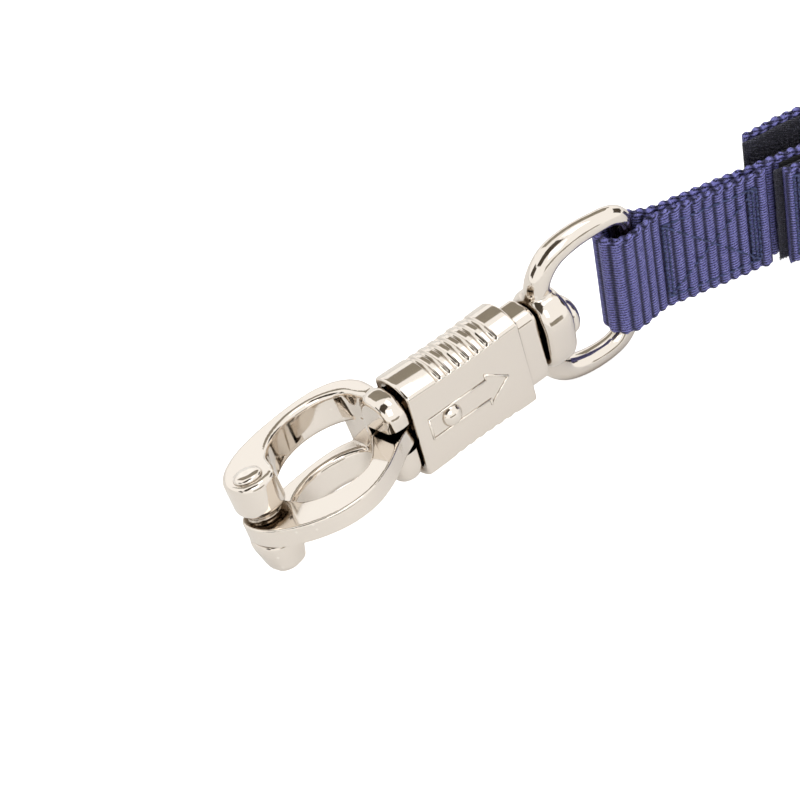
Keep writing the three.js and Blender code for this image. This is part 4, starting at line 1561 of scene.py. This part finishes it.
@dataclass
class Tether:
    """Main strap with the two tabs that grip the short strap's tail, and the far loop.

    Attributes:
        tab_start: The front tab's free end.
        back_start: The back tab's free end.
        tab_end: Where both tabs end.
        main_start: Where the main strap begins.
        ring_bar: The far ring's bar.
        raw_end: Where the far fold is cut.
        flare: How far the back tab's free end stands off.
    """

    tab_start: float = 34.6
    back_start: float = 32.5
    tab_end: float = 142.0
    main_start: float = 111.0
    ring_bar: float = 345.0
    raw_end: float = 305.0
    flare: float = 5.4

    def build(self) -> None:
        """Make the straps, the hook tapes and the sewing."""
        inner = Laid.LAYER - 1.95
        outer = Laid.LAYER + 1.95
        join = self.main_start
        front = [(self.tab_start, Laid.FRONT_TAB), (join - 4, Laid.FRONT_TAB),
                 *ease_line(join - 2, join + 4, Laid.FRONT_TAB, inner, 8), (self.tab_end, inner)]
        edge = (self.tab_start + 1.6, self.tab_start + 2.5)
        seams = (119.0, 119.9, 139.0, 138.1)
        tab = Strip(front, pinched=(*edge, *seams), start=0.9)
        finish_piece(tab.build("front_tab_webbing"), "tether", Slot.WEBBING, NAVY, "front_tab")
        lift = 1.5
        back = [*self.back_line(join - 4), *ease_line(join - 2, join + 4, Laid.BACK_HOOK, outer - lift, 8),
                (self.tab_end, outer - lift)]
        tab = Strip(back, shift=lift, pinched=(self.back_start + 2, *seams), start=0.3)
        finish_piece(tab.build("back_tab_webbing"), "tether", Slot.WEBBING, NAVY, "back_tab")
        main = Strip(folded(self.ring_bar, -1, self.raw_end, join + 5.5), pinched=(331.0, 330.2, 308.0, 308.8))
        finish_piece(main.build("main_webbing"), "tether", Slot.WEBBING, NAVY, "main_strap")
        self.hooks()
        self.sewing(edge)

    def back_line(self, end: float) -> list[Pair]:
        """The back tab's line: standing off at its free end, then coming down to the tail.

        Args:
            end: Where it ends.

        Returns:
            The line.
        """
        rest = Laid.BACK_HOOK
        start = self.back_start
        return [*ease_line(start, start + 10, rest + self.flare - 0.9, rest + self.flare, 8),
                *ease_line(start + 12, start + 44, rest + self.flare, rest, 20), (end, rest)]

    def hooks(self) -> None:
        """Hook tape on the inner face of each tab."""
        front = [(self.tab_start - 1.6, Laid.FRONT_HOOK), (106.0, Laid.FRONT_HOOK)]
        back = self.back_line(106.0)
        back = [(back[0][0] - 0.9, back[0][1]), *back]
        for line, toward, node in ((front, 1, "front_hook_tape"), (back, -1, "back_hook_tape")):
            ground = Strip(line, thickness=0.5, width=24.4, rib=0, shift=-toward * 0.2)
            finish_piece(ground.build(f"{node}_ground"), "tether", Slot.HOOK, HOOK_PILE, node)
            pile = Pile(line, toward * 0.05, toward * 0.85, 19.5, True, 1.15)
            finish_piece(pile.build(f"{node}_hooks"), "tether", Slot.HOOK, HOOK_STRANDS)
        lip = [(front[0][0] - 0.5, Laid.FRONT_HOOK), (front[0][0] + 3.0, Laid.FRONT_HOOK)]
        fringe = Pile(lip, -0.42, -0.45, 24.0, False, 0.5)
        finish_piece(fringe.build("front_hook_tape_fringe"), "tether", Slot.HOOK, HOOK_STRANDS)

    def sewing(self, edge: Sequence[float]) -> None:
        """Boxes at the tabs' joint and the far loop, and the rows that hold the hook tape.

        Args:
            edge: Places of the front tab's edge rows.
        """
        join = Laid.LAYER
        boxes = ((119.0, 139.0, join - 1.95 - 0.9, Side.FRONT, "stitch_tabs_front"),
                 (119.0, 139.0, join + 1.95 + 0.9, Side.BACK, "stitch_tabs_back"),
                 (308.0, 331.0, -Laid.FACE, Side.FRONT, "stitch_end_front"),
                 (308.0, 331.0, Laid.FACE, Side.BACK, "stitch_end_back"))
        for s0, s1, face, side, node in boxes:
            threads = Seam(face, side).box(f"{node}_thread", s0, s1, 9.6, 3, 3)
            finish_piece(threads, "tether", Slot.THREAD, SEWING, node)
        rows = [((s, -10.6), (s, 10.6)) for s in edge]
        rows += [((edge[0], v), (106.0, v)) for v in (-10.6, 10.6)]
        threads = Seam(Laid.FRONT_TAB - 0.9, Side.FRONT).rows("front_tab_thread", rows)
        finish_piece(threads, "tether", Slot.THREAD, SEWING)


@dataclass
class EndRing:
    """Plain welded D-ring in the far loop. Millimetres in the strap's frame.

    Attributes:
        wire: The wire's radius.
        bar: The straight side's place.
    """

    wire: float = 2.2
    bar: float = 345.0

    def build(self) -> None:
        """Cast the ring."""
        half = [(0, 0, 11.6), (0.5, 0, 14.1), (2.3, 0, 15.7), (6, 0, 16.2), (11.5, 0, 14.2), (16.4, 0, 9.6),
                (18.8, 0, 4)]
        points = [(0, 0, -2.0), *((x, y, -z) for x, y, z in half), *reversed(half), (0, 0, 2.0)]
        maker = MeshMaker(Place.strap())
        maker.tube(smooth_line([(self.bar + x, y, z) for x, y, z in points], 8), self.wire, 32)
        rod = MeshMaker(Place.strap())
        rod.tube([Vector((self.bar, 0, z)) for z in (-4, 0, 4)], self.wire, 32)
        ring = cast("ring_casting", [maker.make("ring_arc"), rod.make("ring_rod")], 0.28, 5)
        finish_piece(ring, "ring", Slot.NICKEL, NICKEL, "end_ring")


# ---------------------------------------------------------------------------------------------------------
# Studio
# ---------------------------------------------------------------------------------------------------------


@dataclass
class Studio:
    """Camera, floor and lights. Metres.

    Attributes:
        lens: Focal length in millimetres on a 36 mm sensor.
        stand: Where the camera stands.
        ahead: The direction it looks.
        right: The direction of the picture's right side.
        target: What the lights and cards face.
        sky: How brightly the room shines.
        glow: How much the paper shines where it is looked at.
        key_power: The key light's power in watts.
        top_power: The top light's power in watts.
    """

    lens: float = 157.5
    stand: Point = (-0.4153, -0.3406, 0.4954)
    ahead: Point = (0.356, 0.590, -0.725)
    right: Point = (0.7652, -0.6293, -0.1359)
    target: Point = (-0.17, 0.04, 0.02)
    sky: float = 1.2
    glow: float = 0.7
    key_power: float = 2.6
    top_power: float = 2.0

    def camera(self) -> None:
        """Place the camera."""
        data = bpy.data.cameras.new("camera")
        data.lens = self.lens
        data.sensor_width = 36
        data.clip_start = 0.01
        eye = bpy.data.objects.new("camera", data)
        back = -Vector(self.ahead).normalized()
        right = Vector(self.right)
        right = (right - back * right.dot(back)).normalized()
        turn = Matrix((right, back.cross(right), back)).transposed().to_4x4()
        eye.matrix_world = Matrix.Translation(Vector(self.stand)) @ turn
        bpy.context.scene.collection.objects.link(eye)
        bpy.context.scene.camera = eye

    def panel(self, name: str, centre: Point, size: Pair, colour: tuple[float, float, float]) -> None:
        """A flat card that the metal mirrors.

        Args:
            name: Its name.
            centre: Its middle.
            size: Its width and height.
            colour: Its colour.
        """
        w, h = size[0] / 2, size[1] / 2
        mesh = bpy.data.meshes.new(name)
        mesh.from_pydata([(-w, -h, 0), (w, -h, 0), (w, h, 0), (-w, h, 0)], [], [(0, 1, 2, 3)])
        card = bpy.data.objects.new(name, mesh)
        facing = (Vector(self.target) - Vector(centre)).to_track_quat("Z", "Y")
        card.matrix_world = Matrix.Translation(Vector(centre)) @ facing.to_matrix().to_4x4()
        material = bpy.data.materials.new(name)
        material.use_nodes = True
        shader = material.node_tree.nodes["Principled BSDF"]
        shader.inputs["Base Color"].default_value = (*colour, 1)
        shader.inputs["Roughness"].default_value = 0.9
        mesh.materials.append(material)
        card.visible_camera = False
        card.visible_shadow = False
        bpy.context.scene.collection.objects.link(card)

    def light(self, name: str, place: Point, size: float, power: float) -> None:
        """A soft square light.

        Args:
            name: Its name.
            place: Where it hangs.
            size: Its side.
            power: Its power in watts.
        """
        data = bpy.data.lights.new(name, "AREA")
        data.shape = "SQUARE"
        data.size = size
        data.energy = power
        lamp = bpy.data.objects.new(name, data)
        aim = (Vector(self.target) - Vector(place)).to_track_quat("-Z", "Y")
        lamp.matrix_world = Matrix.Translation(Vector(place)) @ aim.to_matrix().to_4x4()
        bpy.context.scene.collection.objects.link(lamp)

    def build(self) -> None:
        """Set up the floor, the sky and the lights."""
        mesh = bpy.data.meshes.new("table")
        mesh.from_pydata([(-3, -3, 0), (3, -3, 0), (3, 3, 0), (-3, 3, 0)], [], [(0, 1, 2, 3)])
        table = bpy.data.objects.new("table", mesh)
        bpy.context.scene.collection.objects.link(table)
        paper = bpy.data.materials.new("white paper")
        paper.use_nodes = True
        shader = paper.node_tree.nodes["Principled BSDF"]
        shader.inputs["Base Color"].default_value = (0.93, 0.93, 0.93, 1)
        shader.inputs["Roughness"].default_value = 0.9
        shader.inputs["Emission Color"].default_value = (1, 1, 1, 1)
        nodes = Nodes(paper.node_tree)
        seen = nodes.add("ShaderNodeLightPath")
        shine = nodes.math("MULTIPLY", seen.outputs["Is Camera Ray"], self.glow)
        nodes.link(shine, shader.inputs["Emission Strength"])
        mesh.materials.append(paper)
        world = bpy.data.worlds.new("studio")
        world.use_nodes = True
        world.node_tree.nodes["Background"].inputs["Color"].default_value = (1.0, 0.995, 0.985, 1)
        world.node_tree.nodes["Background"].inputs["Strength"].default_value = self.sky
        bpy.context.scene.world = world
        bpy.context.scene.view_settings.view_transform = "Standard"
        self.light("key", (-0.5, -0.9, 1.1), 0.8, self.key_power)
        self.light("top", (0.1, 0.1, 1.3), 0.7, self.top_power)
        brown, dark = (0.33, 0.30, 0.245), (0.07, 0.055, 0.04)
        self.panel("far_wall", (0.45, 1.4, 0.95), (2.0, 1.1), brown)
        self.panel("front_wall", (-0.2, -1.5, 0.2), (1.6, 0.3), brown)
        self.panel("right_wall", (1.5, -0.1, 0.5), (1.1, 0.7), dark)
        self.panel("ceiling", (-0.68, 0.0, 1.08), (0.75, 1.6), dark)
        self.panel("left_wall", (-1.5, 0.5, 0.45), (0.8, 0.5), dark)


def main() -> None:
    """Build the studio and every sub-assembly, in order."""
    logging.basicConfig(level=logging.INFO, format="%(name)s %(message)s", stream=sys.stdout)
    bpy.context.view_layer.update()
    studio = Studio()
    studio.camera()
    studio.build()
    for part in (PanicSnap(), SwivelEye(), ShortEnd(), Tether(), EndRing()):
        LOG.info("building %s", type(part).__name__)
        part.build()
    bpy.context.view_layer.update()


if __name__ == "__main__":
    main()
